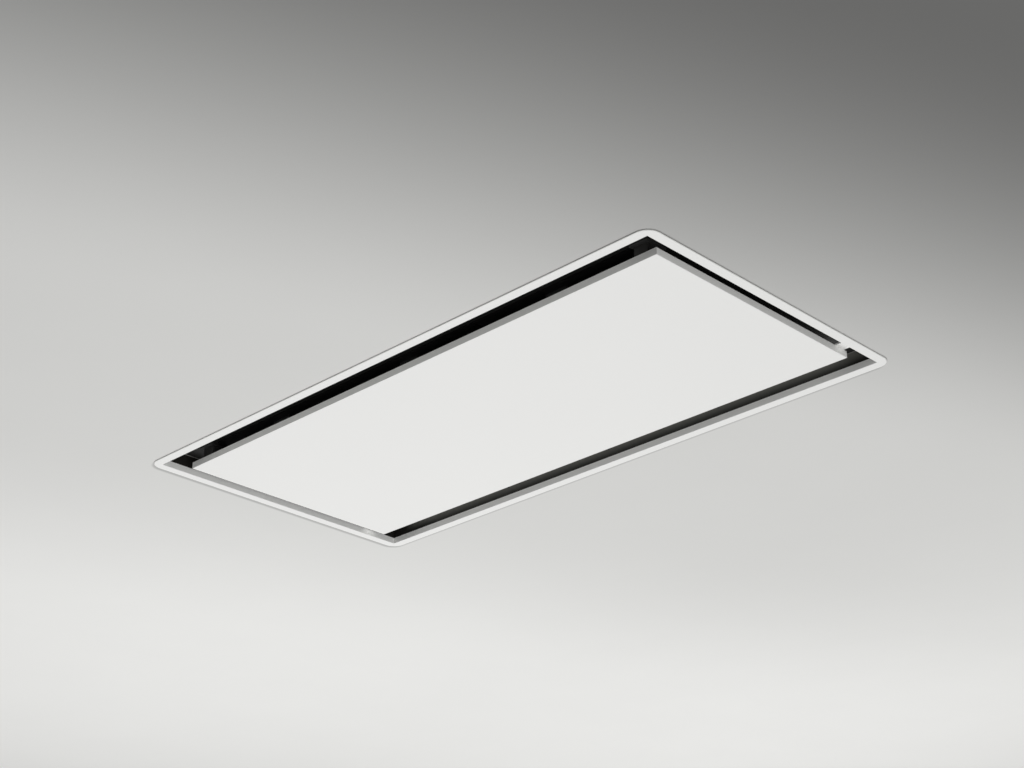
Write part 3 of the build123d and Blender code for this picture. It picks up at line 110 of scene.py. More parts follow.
# The finer parts of the shared shader groups
SLOW_SCALE = 6.0
DUST_SCALE = 18.0
WARP_SCALE = 40.0
WARP_REACH = 6 * MM
STREAK_SQUEEZE = 0.03
COAT_ROUGHNESS = 0.2
RELIEF_SHARE = 0.25

# Lamps, each with its place and the length of its sides, and the photograph's camera
KEY_LAMP = ((-1.25, 0.7, -2.8), 3.0)
FILL_LAMP = ((4.0, -1.2, -2.8), 2.5)
TOP_LAMP = ((-1.5, -2.5, 4.0), 4.0)
CAMERA_PLACE = (1.6809, -1.6662, -1.0935)
CAMERA_TARGET = (0.0899, -0.0629, 0.0)
SENSOR_WIDTH = 36.0
CLIP_END = 100.0


# ---- what a user may change ----


def colour(name, description, value):
    """A setting that holds a colour."""
    return FloatVectorProperty(name=name, description=description, subtype="COLOR", size=3,
                               min=0.0, max=1.0, default=value)


def length(name, description, value):
    """A setting that holds a length in metres."""
    return FloatProperty(name=name, description=description, default=value, min=0.0,
                         unit="LENGTH", precision=5)


class HoodPaint(bpy.types.PropertyGroup):
    white: colour("White", "Paint of the trim and the panel", (0.81, 0.81, 0.797))
    # Painted light: the lip and the panel's sides are painted whiter towards the left than the trim's
    # white, for the light they catch there
    sides: colour("Sides", "Paint of the lip and the panel's sides, at the left",
                  (0.95, 0.95, 0.935))
    # The arms' enamel is glossier than the trim's paint, and is painted whiter as painted light
    arm: colour("Arm", "Enamel of the hinge arms", (0.93, 0.93, 0.915))
    # Painted shade and light: the collar's dark paint is painted darker just above the lip and lighter
    # towards the deck, with a painted shadow at its left end
    dark: colour("Dark", "Paint of the collar, just above the lip", (0.008, 0.008, 0.007))
    painted_end_shadow: colour("Dark end", "Paint of the collar's far end", (0.019, 0.018, 0.016))
    # A light line painted along the collar's top edge
    top_edge_line: colour("Rubbed edge", "Bare line where the collar meets the deck", (0.42, 0.42, 0.4))
    painted_top_light: colour("Dark top", "Paint of the collar, at the deck", (0.225, 0.228, 0.206))
    deck: colour("Deck", "Paint of the deck that carries the filters", (0.01, 0.01, 0.0095))
    filter_black: colour("Filter", "Anodised filters", (0.012, 0.012, 0.012))
    screen: colour("Screen", "Expanded sheet over the filters' pleats", (0.06, 0.06, 0.062))
    peel: length("Peel", "Width of the paint's orange peel", 1.6 * MM)


class HoodMetal(bpy.types.PropertyGroup):
    zinc: colour("Zinc", "Galvanised sheet", (0.56, 0.58, 0.59))
    bright: colour("Bright", "Plated small parts", (0.62, 0.62, 0.6))
    hanger: colour("Hanger", "Plated hanger brackets", (0.4, 0.41, 0.42))
    alloy: colour("Alloy", "Mill-finish aluminium", (0.68, 0.68, 0.69))
    spangle: length("Spangle", "Width of the zinc's crystals", 14 * MM)


class HoodScreen(bpy.types.PropertyGroup):
    border: length("Border", "Width of a filter frame's sides and rear", 12 * MM)
    front: length("Front", "Width of a filter frame's front", 30 * MM)
    long_way: length("Long way", "Length of a diamond of the expanded sheet", 12 * MM)
    short_way: length("Short way", "Width of a diamond of the expanded sheet", 6 * MM)
    strand: length("Strand", "Thickness of the expanded sheet's strands", 0.8 * MM)


class HoodStage(bpy.types.PropertyGroup):
    # Painted light and shade: the ceiling board is painted lighter at the left and well behind the
    # hood, and much darker towards the right
    ceiling: colour("Ceiling", "Colour of the ceiling board at the left", (0.79, 0.79, 0.775))
    ceiling_middle_shade: colour("Middle ceiling", "Colour of the ceiling board past the hood",
                           (0.67, 0.67, 0.656))
    ceiling_right_shade: colour("Near ceiling", "Colour of the ceiling board at the right",
                         (0.135, 0.135, 0.132))
    ceiling_far_light: colour("Far ceiling", "Colour of the ceiling board well behind the hood",
                        (0.97, 0.97, 0.952))
    backdrop: colour("Backdrop", "What the camera sees past the ceiling", (0.78, 0.78, 0.77))
    world: FloatProperty(name="World", description="Strength of the even light", default=0.25)
    key: FloatProperty(name="Key", description="Power of the lamp below the far end", default=72.0)
    fill: FloatProperty(name="Fill", description="Power of the lamp on the camera's side", default=77.0)
    top: FloatProperty(name="Top", description="Power of the lamp above the ceiling", default=120.0)
    cut_margin: length("Cut-out", "Gap between the housing and the ceiling board", 8 * MM)
    rise: length("Rise", "Height of the ceiling board's face", 2.2 * MM)
    shadow: length("Shadow", "How far the trim's shadow falls on the ceiling", 4.5 * MM)
    corner: length("Corner", "Radius of the shadow's corners", 20 * MM)
    reach: length("Reach", "Half the width of the ceiling board", 24.0)
    lens: FloatProperty(name="Lens", description="Focal length of the camera", default=64.1,
                        unit="CAMERA")
    tilt: FloatProperty(name="Tilt", description="Roll of the camera", default=math.radians(0.07),
                        unit="ROTATION")


# ---- shared shader groups ----


def group_tree(name, inputs, outputs):
    """An empty shader group with named sockets; inputs hold (name, kind, default)."""
    tree = bpy.data.node_groups.new(name, "ShaderNodeTree")
    for label, kind, value in inputs:
        socket = tree.interface.new_socket(name=label, in_out="INPUT", socket_type="NodeSocket" + kind)
        if value is not None:
            socket.default_value = value
    for label, kind in outputs:
        tree.interface.new_socket(name=label, in_out="OUTPUT", socket_type="NodeSocket" + kind)
    return tree, tree.nodes.new("NodeGroupInput"), tree.nodes.new("NodeGroupOutput")


def noise(tree, vector, scale, detail):
    """A noise mask; its scale is a number or a socket."""
    node = tree.nodes.new("ShaderNodeTexNoise")
    tree.links.new(vector, node.inputs["Vector"])
    if isinstance(scale, float):
        node.inputs["Scale"].default_value = scale
    else:
        tree.links.new(scale, node.inputs["Scale"])
    node.inputs["Detail"].default_value = detail
    return node.outputs["Fac"]


def maths(tree, kind, first, second):
    """A Math node on two values, each a number or a socket."""
    node = tree.nodes.new("ShaderNodeMath")
    node.operation = kind
    for socket, value in zip(node.inputs, (first, second)):
        if isinstance(value, float):
            socket.default_value = value
        else:
            tree.links.new(value, socket)
    return node.outputs["Value"]


def spread(tree, mask, middle, amount):
    """middle plus amount times the mask's distance from a half."""
    swing = maths(tree, "MULTIPLY", maths(tree, "SUBTRACT", mask, 0.5), amount)
    return maths(tree, "ADD", swing, middle)


def shaded(tree, base, factor):
    """A colour made lighter or darker by a factor."""
    node = tree.nodes.new("ShaderNodeVectorMath")
    node.operation = "SCALE"
    tree.links.new(base, node.inputs[0])
    tree.links.new(factor, node.inputs["Scale"])
    return node.outputs["Vector"]


SURFACE_INPUTS = [("Vector", "Vector", None), ("Color", "Color", (0.5, 0.5, 0.5, 1.0)),
                  ("Cells", "Float", 500.0), ("Shade", "Float", 0.05), ("Roughness", "Float", 0.5),
                  ("Roughness Spread", "Float", 0.1)]
SURFACE_OUTPUTS = [("Color", "Color"), ("Roughness", "Float"), ("Height", "Float")]


def peel_group():
    """Sprayed paint or moulded skin: a fine ripple with slow changes of tone."""
    tree, given, result = group_tree("Peel", SURFACE_INPUTS, SURFACE_OUTPUTS)
    vector, cells = given.outputs["Vector"], given.outputs["Cells"]
    fine = noise(tree, vector, cells, detail=1.5)
    slow = noise(tree, vector, SLOW_SCALE, detail=4.0)
    tone = spread(tree, slow, 1.0, given.outputs["Shade"])
    tree.links.new(shaded(tree, given.outputs["Color"], tone), result.inputs["Color"])
    rough = spread(tree, slow, given.outputs["Roughness"], given.outputs["Roughness Spread"])
    tree.links.new(rough, result.inputs["Roughness"])
    tree.links.new(fine, result.inputs["Height"])
    return tree


def spangle_group():
    """Zinc crystals: cells of different tone and gloss."""
    tree, given, result = group_tree("Spangle", SURFACE_INPUTS, SURFACE_OUTPUTS)
    warp = noise(tree, given.outputs["Vector"], WARP_SCALE, detail=2.0)
    bent = tree.nodes.new("ShaderNodeVectorMath")
    bent.operation = "MULTIPLY_ADD"
    tree.links.new(warp, bent.inputs[0])
    bent.inputs[1].default_value = (WARP_REACH, WARP_REACH, WARP_REACH)
    tree.links.new(given.outputs["Vector"], bent.inputs[2])
    cell = tree.nodes.new("ShaderNodeTexVoronoi")
    tree.links.new(bent.outputs["Vector"], cell.inputs["Vector"])
    tree.links.new(given.outputs["Cells"], cell.inputs["Scale"])
    one = tree.nodes.new("ShaderNodeSeparateColor")
    tree.links.new(cell.outputs["Color"], one.inputs["Color"])
    tone = spread(tree, one.outputs["Red"], 1.0, given.outputs["Shade"])
    tree.links.new(shaded(tree, given.outputs["Color"], tone), result.inputs["Color"])
    rough = spread(tree, one.outputs["Green"], given.outputs["Roughness"],
                   given.outputs["Roughness Spread"])
    tree.links.new(rough, result.inputs["Roughness"])
    tree.links.new(cell.outputs["Distance"], result.inputs["Height"])
    return tree


def brushed_group():
    """Drawn or rolled metal: streaks along the vector's X."""
    tree, given, result = group_tree("Brushed", SURFACE_INPUTS, SURFACE_OUTPUTS)
    stretch = tree.nodes.new("ShaderNodeVectorMath")
    stretch.operation = "MULTIPLY"
    stretch.inputs[1].default_value = (STREAK_SQUEEZE, 1.0, 1.0)
    tree.links.new(given.outputs["Vector"], stretch.inputs[0])
    streak = noise(tree, stretch.outputs["Vector"], given.outputs["Cells"], detail=4.0)
    tone = spread(tree, streak, 1.0, given.outputs["Shade"])
    tree.links.new(shaded(tree, given.outputs["Color"], tone), result.inputs["Color"])
    rough = spread(tree, streak, given.outputs["Roughness"], given.outputs["Roughness Spread"])
    tree.links.new(rough, result.inputs["Roughness"])
    tree.links.new(streak, result.inputs["Height"])
    return tree


def dust_group():
    """A thin film of dust on faces that look up."""
    tree, given, result = group_tree(
        "Dust", [("Vector", "Vector", None), ("Color", "Color", None), ("Amount", "Float", 0.3)],
        [("Color", "Color")])
    geometry = tree.nodes.new("ShaderNodeNewGeometry")
    parts = tree.nodes.new("ShaderNodeSeparateXYZ")
    tree.links.new(geometry.outputs["Normal"], parts.inputs["Vector"])
    upward = maths(tree, "MAXIMUM", parts.outputs["Z"], 0.0)
    patches = noise(tree, given.outputs["Vector"], DUST_SCALE, detail=6.0)
    patchy = maths(tree, "MULTIPLY", patches, upward)
    mask = maths(tree, "MULTIPLY", patchy, given.outputs["Amount"])
    mix = tree.nodes.new("ShaderNodeMix")
    mix.data_type = "RGBA"
    tree.links.new(mask, mix.inputs["Factor"])
    tree.links.new(given.outputs["Color"], mix.inputs["A"])
    mix.inputs["B"].default_value = (*DUST, 1.0)
    tree.links.new(mix.outputs["Result"], result.inputs["Color"])
    return tree


def fade_group():
    """One colour that turns into another along a direction."""
    tree, given, result = group_tree(
        "Fade", [("Vector", "Vector", None), ("Direction", "Vector", (0.0, 0.0, 1.0)),
                 ("Start", "Float", 0.0), ("End", "Float", 1.0),
                 ("First", "Color", (0.0, 0.0, 0.0, 1.0)), ("Last", "Color", (1.0, 1.0, 1.0, 1.0))],
        [("Color", "Color")])
    along = tree.nodes.new("ShaderNodeVectorMath")
    along.operation = "DOT_PRODUCT"
    reach = tree.nodes.new("ShaderNodeMapRange")
    reach.interpolation_type = "SMOOTHSTEP"
    mix = tree.nodes.new("ShaderNodeMix")
    mix.data_type = "RGBA"
    tree.links.new(given.outputs["Vector"], along.inputs[0])
    tree.links.new(given.outputs["Direction"], along.inputs[1])
    tree.links.new(along.outputs["Value"], reach.inputs["Value"])
    tree.links.new(given.outputs["Start"], reach.inputs["From Min"])
    tree.links.new(given.outputs["End"], reach.inputs["From Max"])
    tree.links.new(reach.outputs["Result"], mix.inputs["Factor"])
    tree.links.new(given.outputs["First"], mix.inputs["A"])
    tree.links.new(given.outputs["Last"], mix.inputs["B"])
    tree.links.new(mix.outputs["Result"], result.inputs["Color"])
    return tree


GROUPS = {}


def shared(name, build):
    """A shader group that is built once and then used again."""
    if name not in GROUPS:
        GROUPS[name] = build()
    return GROUPS[name]


def faded(tree, vector, first, fades):
    """A colour that turns into others; a fade is a direction, a start, an end and a last colour."""
    source = None
    for way, start, end, last in fades:
        node = tree.nodes.new("ShaderNodeGroup")
        node.node_tree = shared("fade", fade_group)
        node.inputs["Direction"].default_value = way
        node.inputs["Start"].default_value = start
        node.inputs["End"].default_value = end
        node.inputs["First"].default_value = (*first, 1.0)
        node.inputs["Last"].default_value = (*last, 1.0)
        tree.links.new(vector, node.inputs["Vector"])
        if source:
            tree.links.new(source, node.inputs["First"])
        source = node.outputs["Color"]
    return source


def finish(name, base, kind="peel", cell=1.5 * MM, shade=0.03, roughness=0.5, gloss_spread=0.06,
           bump=0.05, metallic=0.0, specular=0.5, coat=0.0, dust=0.0, fades=()):
    """A material whose colour, gloss and relief come from one of the shared groups."""
    builders = {"peel": peel_group, "spangle": spangle_group, "brushed": brushed_group}
    material = bpy.data.materials.new(name)
    material.use_nodes = True
    tree = material.node_tree
    tree.nodes.clear()
    place = tree.nodes.new("ShaderNodeTexCoord")
    surface = tree.nodes.new("ShaderNodeGroup")
    surface.node_tree = shared(kind, builders[kind])
    tree.links.new(place.outputs["Object"], surface.inputs["Vector"])
    surface.inputs["Color"].default_value = (*base, 1.0)
    if fades:
        tree.links.new(faded(tree, place.outputs["Object"], base, fades), surface.inputs["Color"])
    surface.inputs["Cells"].default_value = 1.0 / cell
    surface.inputs["Shade"].default_value = shade
    surface.inputs["Roughness"].default_value = roughness
    surface.inputs["Roughness Spread"].default_value = gloss_spread
    shader = tree.nodes.new("ShaderNodeBsdfPrincipled")
    shader.inputs["Metallic"].default_value = metallic
    shader.inputs["Specular IOR Level"].default_value = specular
    shader.inputs["Coat Weight"].default_value = coat
    shader.inputs["Coat Roughness"].default_value = COAT_ROUGHNESS
    tone = surface.outputs["Color"]
    if dust:
        film = tree.nodes.new("ShaderNodeGroup")
        film.node_tree = shared("dust", dust_group)
        film.inputs["Amount"].default_value = dust
        tree.links.new(place.outputs["Object"], film.inputs["Vector"])
        tree.links.new(tone, film.inputs["Color"])
        tone = film.outputs["Color"]
    tree.links.new(tone, shader.inputs["Base Color"])
    tree.links.new(surface.outputs["Roughness"], shader.inputs["Roughness"])
    relief = tree.nodes.new("ShaderNodeBump")
    relief.inputs["Strength"].default_value = bump
    relief.inputs["Distance"].default_value = cell * RELIEF_SHARE
    tree.links.new(surface.outputs["Height"], relief.inputs["Height"])
    tree.links.new(relief.outputs["Normal"], shader.inputs["Normal"])
    output = tree.nodes.new("ShaderNodeOutputMaterial")
    tree.links.new(shader.outputs["BSDF"], output.inputs["Surface"])
    return material


def coat_node(node, material):
    """Gives a finish to one CAD node."""
    for place in frame["nodes"][node].material_slots:
        place.material = material


def dress(slot, material):
    """Gives a finish to every CAD node of a material slot."""
    for node, used in SLOTS.items():
        if used == slot:
            coat_node(node, material)


# ---- new pieces ----


def keep(mesh, name, material):
    """An object at the origin from a finished bmesh."""
    data = bpy.data.meshes.new(name)
    mesh.to_mesh(data)
    mesh.free()
    data.materials.append(material)
    thing = bpy.data.objects.new(name, data)
    bpy.context.scene.collection.objects.link(thing)
    return thing


def expanded_sheet(low, high, sizes):
    """A lattice of diamonds that fills the area between two corners."""
    mesh = bmesh.new()
    span = high - low
    cells = int(span.x / sizes.long_way + span.y / sizes.short_way) + 2
    bmesh.ops.create_grid(mesh, x_segments=cells, y_segments=cells, size=cells / math.sqrt(8.0))
    bmesh.ops.rotate(mesh, verts=mesh.verts, matrix=Matrix.Rotation(math.radians(45.0), 3, "Z"))
    bmesh.ops.scale(mesh, vec=Vector((sizes.long_way, sizes.short_way, 1.0)), verts=mesh.verts)
    bmesh.ops.translate(mesh, vec=(low + high) / 2, verts=mesh.verts)
    for corner, way in ((low, -1.0), (high, 1.0)):
        for axis in (Vector((1, 0, 0)), Vector((0, 1, 0))):
            whole = mesh.verts[:] + mesh.edges[:] + mesh.faces[:]
            bmesh.ops.bisect_plane(mesh, geom=whole, plane_co=corner, plane_no=axis * way,
                                   clear_outer=True)
    bmesh.ops.wireframe(mesh, faces=mesh.faces[:], thickness=sizes.strand, offset=0.0,
                        use_replace=True, use_boundary=True, use_even_offset=False,
                        use_crease=False, crease_weight=0.0, use_relative_offset=False,
                        material_offset=0)
    bmesh.ops.recalc_face_normals(mesh, faces=mesh.faces)
    return mesh


# ---- operators ----


class HOOD_OT_trim_and_panel(bpy.types.Operator):
    """Paints the trim, the panel and the hinge arms, and finishes the panel's back"""
    bl_idname = "hood.trim_and_panel"
    bl_label = "Trim and Panel"

    def execute(self, context):
        paint, metal = context.scene.hood_paint, context.scene.hood_metal
        # Painted light: the lip and the panel's sides turn whiter towards the left, and back to plain
        # white on the faces below them
        sides = (LEFT, *LIT_SIDES_FADE, paint.sides)
        underside = (DOWN, *UNDERSIDE_FADE, paint.white)
        dress("white_paint", finish("satin white paint", paint.white, cell=paint.peel, shade=0.012,
                                    roughness=0.52, gloss_spread=0.05, bump=0.04, coat=0.02,
                                    fades=(sides, underside)))
        # Painted light: the arms' glossier enamel is painted whiter than the trim's paint
        lit_enamel = finish("white arm enamel", paint.arm, cell=paint.peel, shade=0.012, roughness=0.35,
                        gloss_spread=0.05, bump=0.03, coat=0.2)
        for node in ("hinge_arm_left", "hinge_arm_right"):
            coat_node(node, lit_enamel)
        dress("panel_back_aluminium", finish("mill aluminium", metal.alloy, "brushed",
                                             cell=0.6 * MM, shade=0.12, roughness=0.42,
                                             gloss_spread=0.15, bump=0.08, metallic=1.0))
        return {"FINISHED"}


class HOOD_OT_collar(bpy.types.Operator):
    """Paints the collar above the lip and its hinge brackets, with painted light and shade, and
    finishes the catches
    """
    bl_idname = "hood.collar"
    bl_label = "Collar and Catches"

    def execute(self, context):
        paint = context.scene.hood_paint
        low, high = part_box("inner_collar")
        # Painted shade and light: the paint turns lighter from the lip up to the deck, and darker again
        # at the left end as a painted shadow
        upward = (UP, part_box("trim_frame")[1].z, high.z, paint.painted_top_light)
        end_shadow = (LEFT, *(part - low.x for part in COLLAR_END_SHADOW_FADE), paint.painted_end_shadow)
        # A light line painted along the collar's top edge
        edge = (UP, *(part + high.z for part in COLLAR_EDGE_FADE), paint.top_edge_line)
        dress("dark_paint", finish("semi-gloss dark paint", paint.dark, cell=paint.peel, shade=0.15,
                                   roughness=0.4, gloss_spread=0.08, bump=0.08, specular=0.3,
                                   fades=(upward, end_shadow, edge)))
        dress("deck_paint", finish("black deck paint", paint.deck, cell=paint.peel, shade=0.2,
                                   roughness=0.5, gloss_spread=0.08, bump=0.08, specular=0.3))
        dress("dark_rivet", finish("blackened rivets", BLACKENED_STEEL, cell=0.6 * MM,
                                   shade=0.2, roughness=0.4, metallic=0.6))
        dress("catch_plastic", finish("dark catch plastic", CATCH_PLASTIC, cell=0.5 * MM,
                                      shade=0.04, roughness=0.55, bump=0.06))
        dress("ferrite", finish("sintered ferrite", FERRITE, cell=0.4 * MM, shade=0.3,
                                roughness=0.6, bump=0.2))
        return {"FINISHED"}


class HOOD_OT_filters(bpy.types.Operator):
    """Finishes the filters and adds their expanded-metal faces"""
    bl_idname = "hood.filters"
    bl_label = "Grease Filters"

    def execute(self, context):
        paint, sizes = context.scene.hood_paint, context.scene.hood_screen
        black = finish("black anodised frame", paint.filter_black, "brushed", cell=0.5 * MM,
                       shade=0.3, roughness=0.45, metallic=0.5)
        mesh_black = finish("black anodised mesh", paint.filter_black, cell=1.2 * MM, shade=0.4,
                            roughness=0.5, gloss_spread=0.2, bump=0.5, metallic=0.4)
        sheet = finish("dark expanded sheet", paint.screen, cell=0.8 * MM, shade=0.25,
                       roughness=0.4, gloss_spread=0.1, bump=0.15, metallic=0.7)
        dress("filter_frame_black", black)
        dress("filter_mesh_black", mesh_black)
        dress("latch_plastic", finish("black latch plastic", LATCH_PLASTIC, cell=0.5 * MM,
                                      shade=0.1, roughness=0.5, bump=0.08))
        for node in sorted(SLOTS):
            if not node.startswith("filter_frame_"):
                continue
            low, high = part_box(node)
            rise = low.z + SCREEN_LIFT * sizes.strand
            inside = Vector((low.x + sizes.border, low.y + sizes.front, rise))
            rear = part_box(node.replace("frame", "mesh"))[1].y
            beyond = Vector((high.x - sizes.border, rear - sizes.border, rise))
            lattice = expanded_sheet(inside, beyond, sizes)
            screen = keep(lattice, node.replace("frame", "screen"), sheet)
            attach(screen, "housing")
        return {"FINISHED"}


class HOOD_OT_lights(bpy.types.Operator):
    """Finishes the light bars over the long slots"""
    bl_idname = "hood.lights"
    bl_label = "Light Bars"

    def execute(self, context):
        metal = context.scene.hood_metal
        dress("channel_aluminium", finish("anodised channel", metal.alloy, "brushed", cell=0.5 * MM,
                                          shade=0.08, roughness=0.38, metallic=1.0))
        dress("opal_plastic", finish("opal diffuser", OPAL, cell=0.4 * MM, shade=0.02,
                                     roughness=0.35, bump=0.03))
        dress("led_board", finish("white board lacquer", BOARD_WHITE, cell=0.8 * MM,
                                  shade=0.05, roughness=0.35))
        return {"FINISHED"}


class HOOD_OT_housing(bpy.types.Operator):
    """Finishes the galvanised housing, the hangers and the screws"""
    bl_idname = "hood.housing"
    bl_label = "Housing"

    def execute(self, context):
        metal = context.scene.hood_metal
        dress("galvanised", finish("galvanised sheet", metal.zinc, "spangle", cell=metal.spangle,
                                   shade=0.22, roughness=0.42, gloss_spread=0.2, bump=0.03,
                                   metallic=0.85, dust=0.35))
        dress("hanger_steel", finish("plated hangers", metal.hanger, "brushed", cell=0.7 * MM,
                                     shade=0.2, roughness=0.36, gloss_spread=0.15, metallic=1.0,
                                     dust=0.12))
        dress("zinc_steel", finish("bright zinc", metal.bright, "brushed", cell=0.4 * MM, shade=0.1,
                                   roughness=0.3, gloss_spread=0.1, metallic=1.0))
        return {"FINISHED"}


class HOOD_OT_blower(bpy.types.Operator):
    """Finishes the volute, the wheel, the motor and the outlet with its flaps"""
    bl_idname = "hood.blower"
    bl_label = "Blower and Outlet"

    def execute(self, context):
        metal = context.scene.hood_metal
        crystal = metal.spangle * VOLUTE_SPANGLE
        dress("volute_zinc", finish("volute sheet", metal.zinc, "spangle", cell=crystal,
                                    shade=0.18, roughness=0.4, gloss_spread=0.2, bump=0.03,
                                    metallic=0.85))
        dress("impeller_plastic", finish("dark wheel plastic", WHEEL_PLASTIC, cell=0.6 * MM,
                                         shade=0.1, roughness=0.5, bump=0.08))
        dress("motor_aluminium", finish("cast motor", CAST_ALLOY, cell=0.9 * MM, shade=0.15,
                                        roughness=0.5, gloss_spread=0.15, bump=0.3, metallic=0.9))
        dress("grommet_rubber", finish("buffer rubber", RUBBER, cell=0.5 * MM,
                                       shade=0.2, roughness=0.8, bump=0.15))
        dress("duct_plastic", finish("black duct plastic", DUCT_PLASTIC, cell=0.7 * MM,
                                     shade=0.15, roughness=0.45, bump=0.1, dust=0.2))
        dress("flap_plastic", finish("grey flap plastic", FLAP_PLASTIC, cell=0.7 * MM,
                                     shade=0.08, roughness=0.5, bump=0.08, dust=0.2))
        return {"FINISHED"}


class HOOD_OT_electrics(bpy.types.Operator):
    """Finishes the control case, its contents, the cable gland and the light driver"""
    bl_idname = "hood.electrics"
    bl_label = "Electrical Parts"

    def execute(self, context):
        dress("case_steel", finish("grey powder coat", CASE_GREY, cell=0.9 * MM,
                                   shade=0.05, roughness=0.55, bump=0.25, dust=0.3))
        dress("board_laminate", finish("green board lacquer", BOARD_GREEN, cell=2 * MM,
                                       shade=0.3, roughness=0.3))
        dress("capacitor_shell", finish("capacitor can", CAPACITOR_CAN, cell=0.8 * MM,
                                        shade=0.04, roughness=0.35))
        dress("gland_plastic", finish("grey gland plastic", GLAND_GREY, cell=0.5 * MM,
                                      shade=0.05, roughness=0.5, bump=0.08))
        dress("driver_plastic", finish("white driver plastic", DRIVER_WHITE, cell=0.6 * MM,
                                       shade=0.04, roughness=0.5, bump=0.1, dust=0.3))
        return {"FINISHED"}


class HOOD_OT_stage(bpy.types.Operator):
    """Hangs the hood in a pale ceiling with painted light, shade and a painted shadow, and sets the
    light and the camera
    """
    bl_idname = "hood.stage"
    bl_label = "Ceiling, Light and Camera"

    def execute(self, context):
        stage = context.scene.hood_stage
        ceiling_board(stage)
        world_light(context.scene, stage)
        lamp("lamp_key", *KEY_LAMP, stage.key)
        lamp("lamp_fill", *FILL_LAMP, stage.fill)
        lamp("lamp_above", *TOP_LAMP, stage.top)
        aim_camera(context.scene, stage)
        context.scene.view_settings.view_transform = "Standard"
        return {"FINISHED"}


def ceiling_board(stage):
    """A wide board with an eight-sided cut-out for the housing, just over the trim's back."""
    low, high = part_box("plenum_shell")
    rise = stage.rise
    mesh = bmesh.new()
    bmesh.ops.create_grid(mesh, x_segments=1, y_segments=1, size=stage.reach)
    bmesh.ops.translate(mesh, vec=Vector((0, 0, rise)), verts=mesh.verts)
    margin = stage.cut_margin
    cuts = [(Vector((low.x - margin, 0, 0)), Vector((1, 0, 0))),
            (Vector((high.x + margin, 0, 0)), Vector((1, 0, 0))),
            (Vector((0, low.y - margin, 0)), Vector((0, 1, 0))),
            (Vector((0, high.y + margin, 0)), Vector((0, 1, 0)))]
    for x, y in ((low.x, low.y), (low.x, high.y), (high.x, low.y), (high.x, high.y)):
        outward = Vector((math.copysign(1, x), math.copysign(1, y), 0))
        cuts.append((Vector((x, y + outward.y * margin, 0)), outward))
    for point, way in cuts:
        whole = mesh.verts[:] + mesh.edges[:] + mesh.faces[:]
        bmesh.ops.bisect_plane(mesh, geom=whole, plane_co=point, plane_no=way)
    hole = [face for face in mesh.faces if face.calc_center_median().xy.length < margin]
    bmesh.ops.delete(mesh, geom=hole, context="FACES")
    bmesh.ops.reverse_faces(mesh, faces=mesh.faces)
    return keep(mesh, "ceiling_board", ceiling_material(stage))


def ceiling_material(stage):
    """A matt ceiling with painted light and shade and a painted shadow of the trim, only there when it
    is seen from the room below.
    """
    # Painted light and shade: the board is painted darker towards the right and lighter well behind the
    # hood
    fades = [(TO_RIGHT, *MIDDLE_FADE, stage.ceiling_middle_shade),
             (TO_RIGHT, *NEAR_FADE, stage.ceiling_right_shade),
             (BEHIND_HOOD, *FAR_FADE, stage.ceiling_far_light)]
    material = finish("plain ceiling", stage.ceiling, cell=4 * MM, shade=0.03, roughness=0.9,
                      bump=0.05, fades=fades)
    tree = material.node_tree
    kinds = {node.type: node for node in tree.nodes}
    shader, output = kinds["BSDF_PRINCIPLED"], kinds["OUTPUT_MATERIAL"]
    tone = shader.inputs["Base Color"].links[0].from_socket
    factor = trim_shadow(tree, kinds["TEX_COORD"].outputs["Object"], stage)
    tree.links.new(shaded(tree, tone, factor), shader.inputs["Base Color"])
    behind = tree.nodes.new("ShaderNodeNewGeometry")
    clear = tree.nodes.new("ShaderNodeBsdfTransparent")
    mix = tree.nodes.new("ShaderNodeMixShader")
    tree.links.new(behind.outputs["Backfacing"], mix.inputs["Fac"])
    tree.links.new(shader.outputs["BSDF"], mix.inputs[1])
    tree.links.new(clear.outputs["BSDF"], mix.inputs[2])
    tree.links.new(mix.outputs["Shader"], output.inputs["Surface"])
    return material


def trim_shadow(tree, vector, stage):
    """A factor that darkens the ceiling a little past the trim's far edges, as a shadow does."""
    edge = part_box("trim_frame")[1]
    parts = tree.nodes.new("ShaderNodeSeparateXYZ")
    tree.links.new(vector, parts.inputs["Vector"])
    squares = []
    for axis, half, shift in (("X", edge.x, SHADOW_SHIFT_X), ("Y", edge.y, SHADOW_SHIFT_Y)):
        moved = maths(tree, "ADD", parts.outputs[axis], shift * stage.shadow)
        reach = maths(tree, "ABSOLUTE", moved, 0.0)
        outside = maths(tree, "MAXIMUM", maths(tree, "SUBTRACT", reach, half - stage.corner), 0.0)
        squares.append(maths(tree, "MULTIPLY", outside, outside))
    away = maths(tree, "SQRT", maths(tree, "ADD", *squares), 0.0)
    shade = tree.nodes.new("ShaderNodeMapRange")
    shade.interpolation_type = "SMOOTHSTEP"
    tree.links.new(away, shade.inputs["Value"])
    shade.inputs["From Min"].default_value = stage.corner - stage.shadow / 2
    shade.inputs["From Max"].default_value = stage.corner + stage.shadow
    shade.inputs["To Min"].default_value = SHADOW_TONE
    shade.inputs["To Max"].default_value = 1.0
    return shade.outputs["Result"]


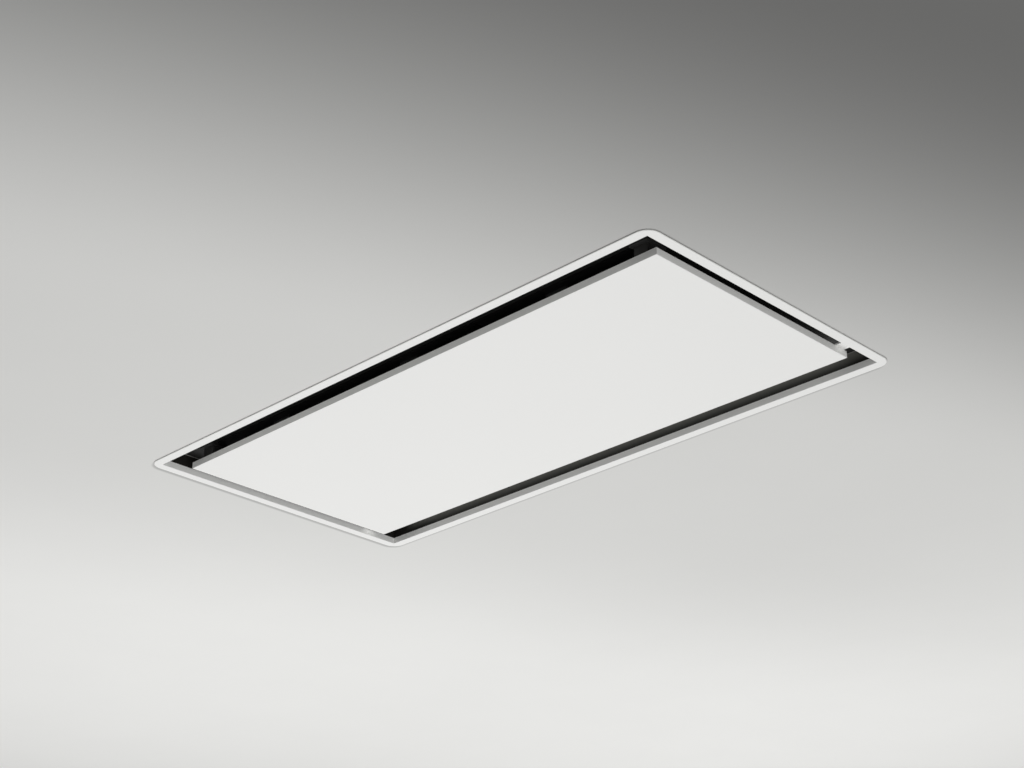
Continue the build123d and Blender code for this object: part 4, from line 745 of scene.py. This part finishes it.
def world_light(scene, stage):
    """Even light, with a paler backdrop for the camera and for reflections."""
    world = bpy.data.worlds.new("even light")
    world.use_nodes = True
    tree = world.node_tree
    sky = tree.nodes["Background"]
    sky.inputs["Color"].default_value = (*EVEN_LIGHT, 1.0)
    sky.inputs["Strength"].default_value = stage.world
    pale = tree.nodes.new("ShaderNodeBackground")
    pale.inputs["Color"].default_value = (*stage.backdrop, 1.0)
    path = tree.nodes.new("ShaderNodeLightPath")
    seen = maths(tree, "MAXIMUM", path.outputs["Is Camera Ray"], path.outputs["Is Glossy Ray"])
    mix = tree.nodes.new("ShaderNodeMixShader")
    tree.links.new(seen, mix.inputs["Fac"])
    tree.links.new(sky.outputs["Background"], mix.inputs[1])
    tree.links.new(pale.outputs["Background"], mix.inputs[2])
    tree.links.new(mix.outputs["Shader"], tree.nodes["World Output"].inputs["Surface"])
    scene.world = world


def lamp(name, place, size, power):
    """A large square lamp that looks at the hood."""
    light = bpy.data.lights.new(name, "AREA")
    light.size = size
    light.energy = power
    thing = bpy.data.objects.new(name, light)
    thing.location = place
    thing.rotation_euler = (-Vector(place)).to_track_quat("-Z", "Y").to_euler()
    bpy.context.scene.collection.objects.link(thing)


def aim_camera(scene, stage):
    """The photograph's camera: below the ceiling, off the front right-hand corner."""
    place, target = Vector(CAMERA_PLACE), Vector(CAMERA_TARGET)
    camera = bpy.data.cameras.new("photo camera")
    camera.lens = stage.lens
    camera.sensor_width = SENSOR_WIDTH
    camera.clip_end = CLIP_END
    thing = bpy.data.objects.new("photo_camera", camera)
    thing.location = place
    roll = Quaternion((0, 0, 1), stage.tilt)
    thing.rotation_euler = ((target - place).to_track_quat("-Z", "Y") @ roll).to_euler()
    scene.collection.objects.link(thing)
    scene.camera = thing


OPERATORS = (HOOD_OT_trim_and_panel, HOOD_OT_collar, HOOD_OT_filters, HOOD_OT_lights,
             HOOD_OT_housing, HOOD_OT_blower, HOOD_OT_electrics, HOOD_OT_stage)


class HOOD_PT_panel(bpy.types.Panel):
    """Lists the hood's finishes and its stage"""
    bl_idname = "HOOD_PT_panel"
    bl_label = "Range Hood"
    bl_space_type = "VIEW_3D"
    bl_region_type = "UI"
    bl_category = "Hood"

    def draw(self, context):
        for operator in OPERATORS:
            self.layout.operator(operator.bl_idname)
        for holder in SETTINGS:
            group = getattr(context.scene, holder)
            box = self.layout.box()
            for name in group.__annotations__:
                box.prop(group, name)


SETTINGS = {"hood_paint": HoodPaint, "hood_metal": HoodMetal, "hood_screen": HoodScreen,
            "hood_stage": HoodStage}


def register():
    for kind in (*SETTINGS.values(), *OPERATORS, HOOD_PT_panel):
        bpy.utils.register_class(kind)
    for holder, kind in SETTINGS.items():
        setattr(bpy.types.Scene, holder, PointerProperty(type=kind))


def unregister():
    for holder in SETTINGS:
        delattr(bpy.types.Scene, holder)
    for kind in (HOOD_PT_panel, *reversed(OPERATORS), *SETTINGS.values()):
        bpy.utils.unregister_class(kind)


def main():
    register()
    for operator in OPERATORS:
        area, name = operator.bl_idname.split(".")
        getattr(getattr(bpy.ops, area), name)()


if __name__ == "__main__":
    main()
